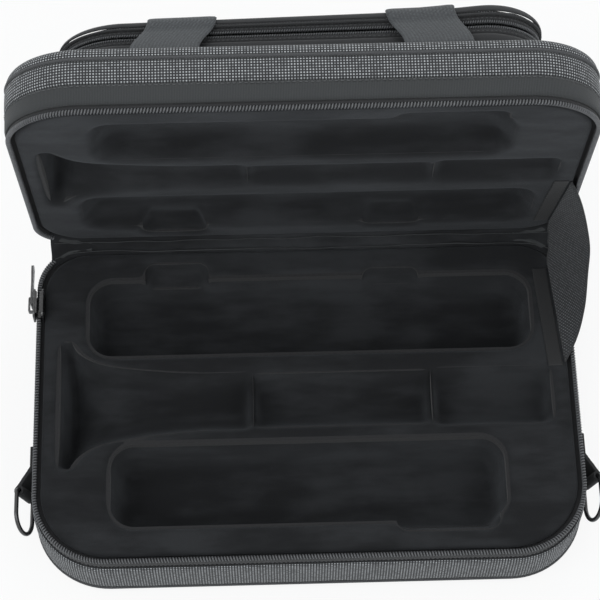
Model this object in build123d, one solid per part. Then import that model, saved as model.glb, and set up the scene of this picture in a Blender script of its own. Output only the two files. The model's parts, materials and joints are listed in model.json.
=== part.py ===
"""Zipped clarinet case, open: padded tray, lid with an outside pocket, one stay gusset.

Millimetres. +X is the case's right, +Y its back (the hinge), +Z up. The origin is the
middle of the flat underside. The lid is drawn closed over the tray and then swung open.
"""
import os
from math import cos, pi, radians, sin, tan

from build123d import *

# ---- the case body ----
CASE_WIDTH = 328.0
CASE_DEPTH = 208.0
FRONT_CORNER = 45.0
BACK_CORNER = 30.0
TRAY_HEIGHT = 52.0
LID_HEIGHT = 40.0
LID_OPENING = 82.0
EDGE_RADIUS = 7.0
SEAM_HEIGHT = 7.2
PIPING_HEIGHT = 2.0
PIPING_PROUD = 0.8
PIPING_ROUND = 0.7
CLOTH = 1.2
PLUSH = 1.6

# ---- the main zip, half of it on each rim ----
COIL_WIDTH = 3.0
COIL_HEIGHT = 3.05
COIL_INSET = 0.4
COIL_CHAMFER = 0.7
ZIP_TAPE = 1.0
RIM_GAP = 0.65
TRAY_TAPE_DEPTH = 10.5
LID_TAPE_DEPTH = 5.6
LID_BAND_DEPTH = 11.6
ZIP_END_SETBACK = 8.0
HINGE_END_INSET = 34.0
SEWN_GAP = 0.3

# ---- the padding under the plush, measured down from the rim plane ----
PLUSH_DROP = 2.5
SLIDER_GROOVE_DEPTH = 6.5
PLUSH_EDGE_INSET = 5.4

# ---- wells for the instrument, places along X and Y, depths down from the rim plane ----
BELL_MOUTH_RADIUS = 40.0
BELL_THROAT_RADIUS = 21.0
BELL_TENON_RADIUS = 17.5
BELL_MOUTH_X = -147.0
BELL_LIP_LENGTH = 5.0
BELL_THROAT_X = -104.0
BELL_TENON_X = -66.0
BELL_END_X = -34.0
BELL_AXIS_DROP = 6.0
MIDDLE_ROW_Y = -2.0
MOUTHPIECE_RADIUS = 16.0
MOUTHPIECE_LENGTH = 104.0
BARREL_RADIUS = 17.5
BARREL_LENGTH = 69.0
DIVIDER = 3.5
LOWER_JOINT_X = (-130.0, 137.0)
LOWER_JOINT_Y = (31.0, 79.0)
UPPER_JOINT_X = (-116.0, 115.0)
UPPER_JOINT_Y = (-79.0, -30.0)
TRAY_JOINT_DEPTH = 37.0
LID_JOINT_DEPTH = 17.0
WELL_ROUND = 13.0
KEY_RELIEF_DEPTH = 15.0
KEY_RELIEF_ROUND = 5.0
LOWER_KEY_RELIEFS = ((-96.0, -60.0, 90.0), (38.0, 70.0, 84.0))
UPPER_KEY_RELIEF = (52.0, 110.0, -85.0)

# ---- sliders and pulls ----
SLIDER_LENGTH = 19.0
SLIDER_FLARE = 0.7
SLIDER_PLATE = 1.1
SLIDER_GAP = 0.5
SLIDER_LIP_GAP = 0.35
SLIDER_LIP = 1.1
SLIDER_NECK = 0.7
SLIDER_NECK_LENGTH = 5.0
SLIDER_NECK_INSET = 1.0
SLIDER_ROUND = 2.4
PULL_WIRE = 1.4
PULL_WIDTH = 7.4
PULL_WAIST = 5.0
PULL_WAIST_PLACE = 0.55
PULL_END_ROUND = 3.3
PULL_LENGTH = 27.0
PULL_SLOT = 6.2
PULL_SLOT_WIDTH = 4.6
PULL_HOLE = 1.3
BRIDGE_LENGTH = 10.0
BRIDGE_WIDTH = 3.0
BRIDGE_SHEET = 1.0
RUNNING_GAP = 0.4
SLIDER_REST = 11.0

# ---- pocket on the lid ----
POCKET_WIDTH = 272.0
POCKET_DEPTH = 156.0
POCKET_CORNER = 38.0
POCKET_HEIGHT = 33.0
POCKET_EDGE_RADIUS = 5.0
POCKET_FACE_HEIGHT = 5.6
POCKET_PIPING = 1.4
POCKET_WALL = 2.4
POCKET_TAPE_UPPER = 2.6
POCKET_COIL_WIDTH = 2.2
POCKET_COIL_HEIGHT = 2.1
POCKET_COIL_GAP = 1.3
POCKET_TAPE_LOWER = 3.0
POCKET_TAPE = 0.8
POCKET_ZIP_END_SETBACK = 12.0
POCKET_SLIDER_LENGTH = 14.0
POCKET_SLIDER_LIP = 0.9
POCKET_SLIDER_REST = 8.0

# ---- carry handle ----
WEBBING_WIDTH = 38.0
WEBBING = 2.0
HANDLE_SPACING = 150.0
HANDLE_CLEARANCE = 0.5
HANDLE_ROOT_OFFSET = 10.0
HANDLE_ROLL = 1.5
HANDLE_REACH = 66.0
HANDLE_LIFT = 5.0
HANDLE_RAMP = 10.0
HANDLE_BENDS = (12.0, 6.0, 10.0, 10.0)
ANCHOR_LENGTH = 13.0
GRIP_LENGTH = 104.0
GRIP_WIDTH = 43.0
GRIP_THICKNESS = 12.0
GRIP_ROUND = 5.0
GRIP_SLACK = 0.3

# ---- shoulder strap rings ----
RING_WIRE = 2.6
RING_WIDTH = 24.0
RING_DEPTH = 27.0
RING_TILT = 20.0
RING_SETBACK = 54.0
RING_Z = 25.0
RING_STANDOFF = 6.4
RING_BEND = 2.0
RING_END_SLACK = 0.01
RING_TAB_WIDTH = 17.0
RING_TAB_SHEET = 1.5
RING_TAB_SEAT = 13.0
RING_TAB_TWIST = 12.0
RING_TAB_NECK = 0.9

# ---- stay gusset at the right ----
GUSSET_SHEET = 1.0
GUSSET_INSET = 7.0
GUSSET_NEAR = 22.0
GUSSET_FAR = 88.0
GUSSET_SPLAY = 5.3
GUSSET_BULGE = 8.0
GUSSET_SCALLOP = 6.0
SEAM_TAPE_WIDTH = 9.0
SEAM_TAPE = 0.8

CASE_CORNERS = (FRONT_CORNER, BACK_CORNER)
POCKET_CORNERS = (POCKET_CORNER, POCKET_CORNER)
HALF_WIDTH = CASE_WIDTH / 2
HALF_DEPTH = CASE_DEPTH / 2
HINGE_Y = HALF_DEPTH - CLOTH / 2
HINGE_LINE = Axis((0, HINGE_Y, TRAY_HEIGHT), (1, 0, 0))
LID_TOP = TRAY_HEIGHT + LID_HEIGHT
REACH = CASE_WIDTH * 2
HINGE_LENGTH = CASE_WIDTH - 2 * HINGE_END_INSET
ZIP_END_Y = HALF_DEPTH - ZIP_END_SETBACK
MAIN_SLIDER_Y = HALF_DEPTH - BACK_CORNER - SLIDER_REST
RING_Y = RING_SETBACK - HALF_DEPTH
POCKET_ZIP_END_Y = POCKET_DEPTH / 2 - POCKET_ZIP_END_SETBACK
POCKET_SLIDER_Y = POCKET_DEPTH / 2 - POCKET_CORNER - POCKET_SLIDER_REST


def opened(shape):
    """Swing a piece of the closed lid to the open position it rests in."""
    return shape.rotate(HINGE_LINE, -LID_OPENING)


def block(x0, x1, y0, y1, z0, z1):
    """Box between two opposite corners."""
    middle = ((x0 + x1) / 2, (y0 + y1) / 2, (z0 + z1) / 2)
    return Pos(*middle) * Box(x1 - x0, y1 - y0, z1 - z0)


def slab(width, depth, corners, inset, z0, z1):
    """Plate with its own front and back corner radius, drawn in from its outline by the inset."""
    front, back = corners
    outline = Rectangle(width - 2 * inset, depth - 2 * inset)
    outline = fillet(outline.vertices().group_by(Axis.Y)[0], front - inset)
    outline = fillet(outline.vertices().group_by(Axis.Y)[-1], back - inset)
    return Pos(0, 0, z0) * extrude(outline, z1 - z0)


def ring(width, depth, corners, insets, z0, z1):
    """Wall that follows the outline, between two insets and two heights."""
    outer = slab(width, depth, corners, insets[0], z0, z1)
    return outer - slab(width, depth, corners, insets[1], z0, z1)


def cup(width, depth, corners, inset, z0, z1, edge):
    """Round-cornered block whose bottom edge is rounded over."""
    body = slab(width, depth, corners, inset, z0, z1)
    return fillet(body.faces().sort_by(Axis.Z)[0].edges(), edge)


def case_slab(inset, z0, z1):
    return slab(CASE_WIDTH, CASE_DEPTH, CASE_CORNERS, inset, z0, z1)


def case_ring(insets, z0, z1):
    return ring(CASE_WIDTH, CASE_DEPTH, CASE_CORNERS, insets, z0, z1)


def case_cup(inset, height):
    """Solid of one half of the case, rim plane at z = 0 and bottom at -height."""
    return cup(CASE_WIDTH, CASE_DEPTH, CASE_CORNERS, inset, inset - height, 0, EDGE_RADIUS - inset)


def pocket_ring(insets, z0, z1):
    return ring(POCKET_WIDTH, POCKET_DEPTH, POCKET_CORNERS, insets, z0, z1)


def before(shape, y):
    """The part of a shape in front of a plane across the case."""
    return shape & block(-REACH, REACH, -REACH, y, -REACH, REACH)


def behind(shape, y):
    """The part of a shape behind a plane across the case."""
    return shape & block(-REACH, REACH, y, REACH, -REACH, REACH)


def solids_of(shape):
    """The shape's solids as one group, largest first."""
    return Compound(children=sorted(shape.solids(), key=lambda s: -s.volume))


# ---- wells: one plan for tray and lid, since both hold the same pieces ----


def trough(x_span, y_span, depth, grow):
    """Long U-shaped well, open at the top, grown outward by the plush thickness."""
    width = y_span[1] - y_span[0] + 2 * grow
    length = x_span[1] - x_span[0] + 2 * grow
    outline = RectangleRounded(length, width, WELL_ROUND + grow)
    body = extrude(outline, depth + grow + 2 * PLUSH_DROP)
    body = fillet(body.faces().sort_by(Axis.Z)[0].edges(), WELL_ROUND - grow)
    return Pos(sum(x_span) / 2, sum(y_span) / 2, -depth - grow) * body


def relief(x0, x1, y_joint, y_edge, grow):
    """Side pocket of a joint's well, where its keys stand out."""
    y0, y1 = min(y_joint, y_edge), max(y_joint, y_edge)
    rise = 2 * PLUSH_DROP
    body = block(x0 - grow, x1 + grow, y0 - grow, y1 + grow, -KEY_RELIEF_DEPTH - grow, rise)
    return fillet(body.edges().filter_by(Axis.Z), KEY_RELIEF_ROUND + grow)


def middle_row(axis_z, grow):
    """Turned wells on one axis: flared bell, mouthpiece, barrel."""
    lip_x = BELL_MOUTH_X + BELL_LIP_LENGTH
    mouth = BELL_MOUTH_RADIUS + grow
    bell = Polyline(
        (BELL_END_X + grow, BELL_TENON_RADIUS + grow),
        (BELL_END_X + grow, 0),
        (BELL_MOUTH_X - grow, 0),
        (BELL_MOUTH_X - grow, mouth),
        (lip_x, mouth),
    )
    flare = Spline(
        (lip_x, mouth),
        (BELL_THROAT_X, BELL_THROAT_RADIUS + grow),
        (BELL_TENON_X, BELL_TENON_RADIUS + grow),
        (BELL_END_X + grow, BELL_TENON_RADIUS + grow),
        tangents=[(1, -2.2), (1, 0)],
    )
    profile = make_face([*bell.edges(), flare])
    row = revolve(profile, Axis.X)
    mouthpiece_x = BELL_END_X + DIVIDER
    barrel_x = mouthpiece_x + MOUTHPIECE_LENGTH + DIVIDER
    lengths = ((mouthpiece_x, MOUTHPIECE_LENGTH, MOUTHPIECE_RADIUS),
               (barrel_x, BARREL_LENGTH, BARREL_RADIUS))
    for start, length, radius in lengths:
        bore = Cylinder(radius + grow, length + 2 * grow, rotation=(0, 90, 0))
        row += Pos(start + length / 2, 0, 0) * bore
    return Pos(0, MIDDLE_ROW_Y, axis_z) * row


def wells(joint_depth, axis_z, grow):
    """All wells of one half, in the half's own frame with the rim plane at z = 0."""
    result = middle_row(axis_z, grow)
    result += trough(LOWER_JOINT_X, LOWER_JOINT_Y, joint_depth, grow)
    result += trough(UPPER_JOINT_X, UPPER_JOINT_Y, joint_depth, grow)
    for x0, x1, y_edge in LOWER_KEY_RELIEFS:
        result += relief(x0, x1, LOWER_JOINT_Y[1] - 2 * WELL_ROUND, y_edge, grow)
    x0, x1, y_edge = UPPER_KEY_RELIEF
    return result + relief(x0, x1, UPPER_JOINT_Y[0] + 2 * WELL_ROUND, y_edge, grow)


# ---- one half of the case, rim plane at z = 0, hollow upward ----


def rim_foam(tape_depth):
    """Foam that backs the zip tape, between the tape's foot and the slider groove."""
    tape_inset = COIL_INSET + (COIL_WIDTH + ZIP_TAPE) / 2
    if tape_depth > SLIDER_GROOVE_DEPTH:
        return case_slab(tape_inset, -tape_depth, -SLIDER_GROOVE_DEPTH)
    return case_ring((CLOTH, tape_inset), -SLIDER_GROOVE_DEPTH, -tape_depth)


def padding(height, tape_depth, joint_depth, axis_z):
    """Foam core and plush liner of one half."""
    wall_top = max(tape_depth, SLIDER_GROOVE_DEPTH)
    core = case_cup(CLOTH, height) & case_slab(CLOTH, -height, -wall_top)
    core += rim_foam(tape_depth)
    under_plush = PLUSH_EDGE_INSET + PLUSH
    core += case_slab(under_plush, -SLIDER_GROOVE_DEPTH, -PLUSH_DROP - PLUSH)
    plush_cap = case_slab(PLUSH_EDGE_INSET, -SLIDER_GROOVE_DEPTH, -PLUSH_DROP)
    plush_cap = fillet(plush_cap.faces().sort_by(Axis.Z)[-1].edges(), PLUSH)
    plush_cap -= case_slab(under_plush, -SLIDER_GROOVE_DEPTH, -PLUSH_DROP - PLUSH)
    room = case_slab(PLUSH_EDGE_INSET, CLOTH - height, -PLUSH_DROP)
    well_skin = wells(joint_depth, axis_z, PLUSH) & room
    hollow = wells(joint_depth, axis_z, 0)
    liner = (plush_cap + well_skin) - hollow
    return core - well_skin, liner


def zip_half(tape_depth):
    """Zip tape, coil and end tabs of one rim, stopped short of the fabric hinge."""
    coil_insets = (COIL_INSET, COIL_INSET + COIL_WIDTH)
    tape_inset = COIL_INSET + (COIL_WIDTH - ZIP_TAPE) / 2
    coil_bottom = -RIM_GAP - COIL_HEIGHT
    coil = before(case_ring(coil_insets, coil_bottom, -RIM_GAP), ZIP_END_Y)
    coil = chamfer(coil.faces().sort_by(Axis.Z)[-1].edges(), COIL_CHAMFER)
    tape = case_ring((tape_inset, tape_inset + ZIP_TAPE), -tape_depth, coil_bottom)
    tape = before(tape, ZIP_END_Y)
    tabs = case_ring(coil_insets, -tape_depth, -RIM_GAP)
    tabs = behind(tabs, ZIP_END_Y + SEWN_GAP) - case_slab(PLUSH_EDGE_INSET, -REACH, REACH)
    half_hinge = HINGE_LENGTH / 2 + SEWN_GAP
    tabs -= block(-half_hinge, half_hinge, 0, REACH, -REACH, REACH)
    return tape, coil, solids_of(tabs - rim_foam(tape_depth))


def hinge_strip(tape_depth):
    """One flap of the fabric hinge, sewn along the back edge of a half."""
    strip = case_ring((0, CLOTH), -tape_depth, -RIM_GAP - SEWN_GAP)
    half_hinge = HINGE_LENGTH / 2
    return strip & block(-half_hinge, half_hinge, 0, REACH, -REACH, REACH)


def half_shell(height, tape_depth, band_depth):
    """Sewn cover of one half: end panel, piping, patterned wall and plain band."""
    shell = case_cup(0, height) - case_cup(CLOTH, height)
    seam_z = SEAM_HEIGHT - height
    end_panel = shell & case_slab(0, -height, seam_z)
    bead = case_ring((-PIPING_PROUD, CLOTH), seam_z, seam_z + PIPING_HEIGHT)
    bead = fillet(bead.edges().filter_by(on_outside), PIPING_ROUND)
    wall_top = -tape_depth - band_depth
    wall = case_ring((0, CLOTH), seam_z + PIPING_HEIGHT, wall_top)
    band = case_ring((0, CLOTH), wall_top, -tape_depth) if band_depth else None
    return end_panel, bead, wall, band


def on_outside(edge):
    """True for edges of a seam bead that run around its proud face."""
    centre = edge.center()
    reach_x = HALF_WIDTH + PIPING_PROUD - abs(centre.X)
    reach_y = HALF_DEPTH + PIPING_PROUD - abs(centre.Y)
    return centre.X ** 2 + centre.Y ** 2 > 0 and min(reach_x, reach_y) < CLOTH


# ---- zip sliders and pulls, travelling along Y, cloth face outward along +X ----


def slider(coil_width, coil_height, tape, length, lip):
    """Slider casting with divided nose at -Y, and the bridge that holds its pull."""
    inner = coil_width / 2 + SLIDER_GAP
    outer = inner + SLIDER_PLATE
    lip_z = RIM_GAP + coil_height + SLIDER_GAP
    half_tail = lip_z + lip
    half_nose = half_tail + SLIDER_FLARE
    outline = make_face(Polyline(
        (-length / 2, -half_nose), (length / 2, -half_tail),
        (length / 2, half_tail), (-length / 2, half_nose), close=True))
    outline = fillet(outline.vertices(), SLIDER_ROUND)
    side = Plane(origin=(inner, 0, 0), x_dir=(0, 1, 0), z_dir=(1, 0, 0))
    plate = extrude(side * outline, SLIDER_PLATE)
    body = plate + mirror(plate, about=Plane.YZ)
    lip_inner = tape / 2 + SLIDER_LIP_GAP
    for side_x in (-1, 1):
        for side_z in (-1, 1):
            x0, x1 = sorted((side_x * lip_inner, side_x * inner))
            z0, z1 = sorted((side_z * lip_z, side_z * half_tail))
            body += block(x0, x1, -length / 2 + SLIDER_ROUND, length / 2 - SLIDER_ROUND, z0, z1)
    neck_start = SLIDER_NECK_INSET - length / 2
    body += block(-inner, inner, neck_start, neck_start + SLIDER_NECK_LENGTH,
                  -SLIDER_NECK / 2, SLIDER_NECK / 2)
    clear = 2 * RUNNING_GAP + PULL_WIRE
    rise = clear + BRIDGE_SHEET
    arch = block(outer, outer + rise, -BRIDGE_LENGTH / 2, BRIDGE_LENGTH / 2,
                 -BRIDGE_WIDTH / 2, BRIDGE_WIDTH / 2)
    crown = arch.faces().sort_by(Axis.X)[-1].edges().filter_by(Axis.Z)
    arch = fillet(crown, BRIDGE_SHEET)
    foot = BRIDGE_LENGTH / 2 - BRIDGE_SHEET
    arch -= block(outer, outer + clear, -foot, foot, -BRIDGE_WIDTH, BRIDGE_WIDTH)
    return body, arch, outer + RUNNING_GAP + PULL_WIRE / 2


def pull(pivot_x, length):
    """Pull tag, hinged on its crossbar under the bridge and lying towards +Y."""
    half = PULL_WIDTH / 2
    waist = PULL_WAIST / 2
    shoulder = PULL_SLOT + PULL_WIRE
    middle = length * PULL_WAIST_PLACE
    outline = make_face(Polyline(
        (0, -half), (shoulder, -half), (middle, -waist), (length - half, -half),
        (length, -half), (length, half), (length - half, half), (middle, waist),
        (shoulder, half), (0, half), close=True))
    end_corners = outline.vertices().group_by(Axis.X)[-1]
    outline = fillet(end_corners, PULL_END_ROUND)
    slot = Pos(PULL_WIRE / 2 + PULL_SLOT / 2, 0) * Rectangle(PULL_SLOT, PULL_SLOT_WIDTH)
    hole = Pos(length - half, 0) * Circle(PULL_HOLE)
    flat = Plane(origin=(pivot_x - PULL_WIRE / 2, 0, 0), x_dir=(0, 1, 0), z_dir=(1, 0, 0))
    tag = extrude(flat * (outline - slot - hole), PULL_WIRE)
    crossbar = Pos(pivot_x, 0, 0) * Cylinder(PULL_WIRE / 2, PULL_WIDTH)
    cut = block(pivot_x - PULL_WIRE, pivot_x + PULL_WIRE, -PULL_WIRE, 0, -half, half)
    return (tag - cut) + crossbar


# ---- the parts of the case ----


def tray_parts():
    """Everything sewn or glued to the tray, but for the gusset and the rings."""
    lift = Pos(0, 0, TRAY_HEIGHT)
    end_panel, bead, wall, _ = half_shell(TRAY_HEIGHT, TRAY_TAPE_DEPTH, 0)
    tape, coil, tabs = zip_half(TRAY_TAPE_DEPTH)
    core, liner = padding(TRAY_HEIGHT, TRAY_TAPE_DEPTH, TRAY_JOINT_DEPTH, -BELL_AXIS_DROP)
    fold = Pos(0, HINGE_Y, 0) * Cylinder(RIM_GAP, HINGE_LENGTH, rotation=(0, 90, 0))
    pieces = {
        "tray_bottom_panel": end_panel, "tray_piping": bead, "tray_side_panel": wall,
        "tray_zip_tape": tape, "tray_zip_coil": coil, "tray_zip_end_tabs": tabs,
        "tray_foam_core": core, "tray_plush_liner": liner,
        "tray_hinge_strip": hinge_strip(TRAY_TAPE_DEPTH), "hinge_fold": fold,
    }
    return {name: lift * piece for name, piece in pieces.items()}


def lid_parts():
    """Everything sewn or glued to the lid itself, still closed."""
    lift = Pos(0, 0, TRAY_HEIGHT)
    end_panel, bead, wall, band = half_shell(LID_HEIGHT, LID_TAPE_DEPTH, LID_BAND_DEPTH)
    tape, coil, tabs = zip_half(LID_TAPE_DEPTH)
    core, liner = padding(LID_HEIGHT, LID_TAPE_DEPTH, LID_JOINT_DEPTH, BELL_AXIS_DROP)
    pieces = {
        "lid_top_panel": end_panel, "lid_piping": bead, "lid_side_panel": wall,
        "lid_band": band, "lid_zip_tape": tape, "lid_zip_coil": coil,
        "lid_zip_end_tabs": tabs, "lid_foam_core": core, "lid_plush_liner": liner,
        "lid_hinge_strip": hinge_strip(LID_TAPE_DEPTH),
    }
    return {name: lift * mirror(piece, about=Plane.XY) for name, piece in pieces.items()}


def pocket_parts():
    """The zipped accessory pocket on the closed lid's top."""
    top = LID_TOP + POCKET_HEIGHT
    face_z = top - POCKET_FACE_HEIGHT
    piping_z = face_z - POCKET_PIPING
    upper_coil_top = piping_z - POCKET_TAPE_UPPER
    upper_coil_z = upper_coil_top - POCKET_COIL_HEIGHT
    lower_coil_top = upper_coil_z - POCKET_COIL_GAP
    lower_coil_z = lower_coil_top - POCKET_COIL_HEIGHT
    gusset_top = lower_coil_z - POCKET_TAPE_LOWER
    plate_z = top - POCKET_WALL
    cover = cup(POCKET_WIDTH, POCKET_DEPTH, POCKET_CORNERS, 0, -POCKET_FACE_HEIGHT, 0,
                POCKET_EDGE_RADIUS)
    cover = Pos(0, 0, face_z) * mirror(cover, about=Plane.XY)
    coil_insets = (COIL_INSET, COIL_INSET + POCKET_COIL_WIDTH)
    tape_inset = COIL_INSET + (POCKET_COIL_WIDTH - POCKET_TAPE) / 2
    tape_insets = (tape_inset, tape_inset + POCKET_TAPE)
    end = POCKET_ZIP_END_Y
    back = pocket_ring((0, POCKET_WALL), gusset_top, piping_z)
    return {
        "pocket_gusset": pocket_ring((0, POCKET_WALL), LID_TOP, gusset_top),
        "pocket_lower_zip_tape": before(pocket_ring(tape_insets, gusset_top, lower_coil_z), end),
        "pocket_lower_zip_coil": before(pocket_ring(coil_insets, lower_coil_z, lower_coil_top), end),
        "pocket_upper_zip_coil": before(pocket_ring(coil_insets, upper_coil_z, upper_coil_top), end),
        "pocket_upper_zip_tape": before(pocket_ring(tape_insets, upper_coil_top, piping_z), end),
        "pocket_back_panel": behind(back, end + SEWN_GAP),
        "pocket_piping": pocket_ring((-PIPING_PROUD, POCKET_WALL), piping_z, face_z),
        "pocket_face_band": cover & pocket_ring((0, POCKET_WALL), face_z, plate_z),
        "pocket_face_panel": cover & block(-REACH, REACH, -REACH, REACH, plate_z, top),
    }, (lower_coil_top + upper_coil_z) / 2


def handle_parts():
    """Webbing handle flopped back over the closed pocket, its grip and its sewn anchors."""
    pocket_top = LID_TOP + POCKET_HEIGHT
    front = -POCKET_DEPTH / 2
    half = WEBBING / 2
    root_y = front - HANDLE_ROOT_OFFSET
    root_z = LID_TOP + CLOTH + SEWN_GAP + HANDLE_ROLL
    wall_y = front - PIPING_PROUD - HANDLE_CLEARANCE - half
    flat_z = pocket_top + HANDLE_CLEARANCE + half
    lifted_z = flat_z + HANDLE_LIFT
    tip_y = front + HANDLE_REACH
    ramp_end = tip_y - WEBBING_WIDTH - HANDLE_RAMP / 2
    spine = FilletPolyline(
        (root_y, root_z), (wall_y, pocket_top - HANDLE_RAMP), (wall_y, flat_z),
        (ramp_end - HANDLE_RAMP, flat_z), (ramp_end, lifted_z), (tip_y, lifted_z),
        radius=HANDLE_BENDS)
    side = Plane(origin=(0, 0, 0), x_dir=(0, 1, 0), z_dir=(1, 0, 0))
    leg = extrude(side * trace(spine, WEBBING), WEBBING_WIDTH / 2, both=True)
    leg += Pos(0, root_y, root_z) * Cylinder(HANDLE_ROLL, WEBBING_WIDTH, rotation=(0, 90, 0))
    x_leg = HANDLE_SPACING / 2
    inner, outer = x_leg - WEBBING_WIDTH / 2, x_leg + WEBBING_WIDTH / 2
    fold_y = tip_y - WEBBING_WIDTH
    past = WEBBING
    corner = make_face(Polyline(
        (inner, tip_y), (outer, fold_y), (outer + past, tip_y + past), close=True))
    leg = Pos(x_leg, 0, 0) * leg - extrude(Pos(0, 0, lifted_z - WEBBING) * corner, 2 * WEBBING)
    across = make_face(Polyline(
        (-outer, fold_y), (-inner, tip_y), (inner, tip_y), (outer, fold_y), close=True))
    strap = leg + mirror(leg, about=Plane.YZ)
    strap += extrude(Pos(0, 0, lifted_z + half) * across, WEBBING)
    grip_centre = (0, tip_y - WEBBING_WIDTH / 2, lifted_z + WEBBING)
    grip = Box(GRIP_LENGTH, GRIP_WIDTH, GRIP_THICKNESS)
    grip = fillet(grip.edges().filter_by(Axis.X), GRIP_ROUND)
    slot = Box(GRIP_LENGTH, WEBBING_WIDTH + 2 * GRIP_SLACK, WEBBING + 2 * GRIP_SLACK)
    grip = Pos(*grip_centre) * (grip - slot)
    anchor = block(inner, outer, root_y - ANCHOR_LENGTH / 2, root_y + ANCHOR_LENGTH / 2,
                   LID_TOP, LID_TOP + CLOTH)
    anchors = Compound(children=[anchor, mirror(anchor, about=Plane.YZ)])
    return {"handle_strap": strap, "handle_grip": grip, "handle_anchors": anchors}


def ring_and_tab():
    """Strap ring at the right, with the webbing tab that ties it to the tray's wall."""
    centre = Pos(HALF_WIDTH + RING_STANDOFF, RING_Y, RING_Z)
    tilt = centre * Rot(0, RING_TILT, 0)
    reach = RING_DEPTH - RING_WIRE
    height = RING_WIDTH - RING_WIRE
    outline = Pos(-reach / 2, 0) * Rectangle(reach, height)
    far = outline.vertices().group_by(Axis.X)[0]
    outline = fillet(far, height / 2 - RING_END_SLACK)
    near = outline.vertices().group_by(Axis.X)[-1]
    outline = fillet(near, RING_BEND)
    side = Plane(origin=(0, 0, 0), x_dir=(0, 1, 0), z_dir=(1, 0, 0))
    path = (side * outline).wire()
    start = path @ 0
    wire = sweep(Plane(origin=start, z_dir=path % 0) * Circle(RING_WIRE / 2), path)
    bore = RING_WIRE / 2 + SEWN_GAP
    sleeve = bore + RING_TAB_SHEET
    loop = Cylinder(sleeve, RING_TAB_WIDTH) - Cylinder(bore, RING_TAB_WIDTH)
    neck_y = sleeve * RING_TAB_NECK
    neck = Plane(origin=(0, neck_y, 0), x_dir=(1, 0, 0), z_dir=(0, 1, 0))
    near_end = tilt * (neck * Rectangle(2 * RING_TAB_SHEET, RING_TAB_WIDTH))
    seat_y = RING_Y + neck_y + RING_TAB_TWIST
    seat_x = HALF_WIDTH + RING_TAB_SHEET
    seat = Plane(origin=(seat_x, seat_y, RING_Z), x_dir=(1, 0, 0), z_dir=(0, 1, 0))
    far_end = seat * Rectangle(2 * RING_TAB_SHEET, RING_TAB_WIDTH)
    tab = loft([near_end, far_end], ruled=True)
    tab = (tab + tilt * loop) - tilt * Cylinder(bore, RING_TAB_WIDTH * 2)
    half = RING_TAB_WIDTH / 2
    tab += block(HALF_WIDTH, HALF_WIDTH + 2 * RING_TAB_SHEET, seat_y, seat_y + RING_TAB_SEAT,
                 RING_Z - half, RING_Z + half)
    return tilt * wire, tab


def stay_gusset():
    """Cloth stay at the right that stops the open lid, bellied outward, and its seam tapes."""
    half_angle = radians(LID_OPENING / 2)
    toward = pi - half_angle
    along = Vector(0, cos(toward), sin(toward))
    across = Vector(0, -sin(toward), cos(toward))
    apex = Vector(0, HINGE_Y, TRAY_HEIGHT) - along * ((PLUSH_DROP - SEWN_GAP) / sin(half_angle))
    near, far = GUSSET_NEAR * cos(half_angle), GUSSET_FAR * cos(half_angle)

    def foot_x(share):
        """Outer face of the cloth where it is sewn down, from the hinge end out to the far end."""
        return HALF_WIDTH - GUSSET_INSET - GUSSET_SPLAY * (1 - share)

    def strip(share):
        """Thin crescent across the wedge between tray and lid, at a share of its length."""
        reach = near + (far - near) * share
        half = reach * tan(half_angle)
        belly = GUSSET_BULGE * max(share, GUSSET_SHEET / GUSSET_FAR)
        plane = Plane(origin=apex + along * reach, x_dir=across, z_dir=along)
        outside = 1 if plane.y_dir.X > 0 else -1
        plane.origin = plane.origin + Vector(foot_x(share), 0, 0)
        back = -outside * GUSSET_SHEET
        outer = ThreePointArc((-half, 0), (0, outside * belly), (half, 0))
        inner = ThreePointArc((half, back), (0, outside * belly + back), (-half, back))
        ends = [Line((half, 0), (half, back)), Line((-half, back), (-half, 0))]
        return plane * make_face([outer, inner, *ends])

    sheet = loft([strip(0), strip(1)], ruled=True)
    chord = GUSSET_FAR * sin(half_angle)
    radius = (chord ** 2 + GUSSET_SCALLOP ** 2) / (2 * GUSSET_SCALLOP)
    hollow = apex + along * (far + radius - GUSSET_SCALLOP) + Vector(HALF_WIDTH, 0, 0)
    sheet -= Pos(*hollow) * Cylinder(radius, HALF_WIDTH, rotation=(0, 90, 0))
    y_far, y_near = HINGE_Y - GUSSET_FAR, HINGE_Y - GUSSET_NEAR
    edge_far = foot_x(1) - GUSSET_SHEET - SEWN_GAP
    edge_near = foot_x(0) - GUSSET_SHEET - SEWN_GAP
    outline = make_face(Polyline(
        (edge_far, y_far), (edge_near, y_near), (edge_near - SEAM_TAPE_WIDTH, y_near),
        (edge_far - SEAM_TAPE_WIDTH, y_far), close=True))
    tray_tape = extrude(Pos(0, 0, TRAY_HEIGHT - PLUSH_DROP) * outline, SEAM_TAPE)
    lid_tape = extrude(Pos(0, 0, TRAY_HEIGHT + PLUSH_DROP - SEAM_TAPE) * outline, SEAM_TAPE)
    return sheet, tray_tape, lid_tape


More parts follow.
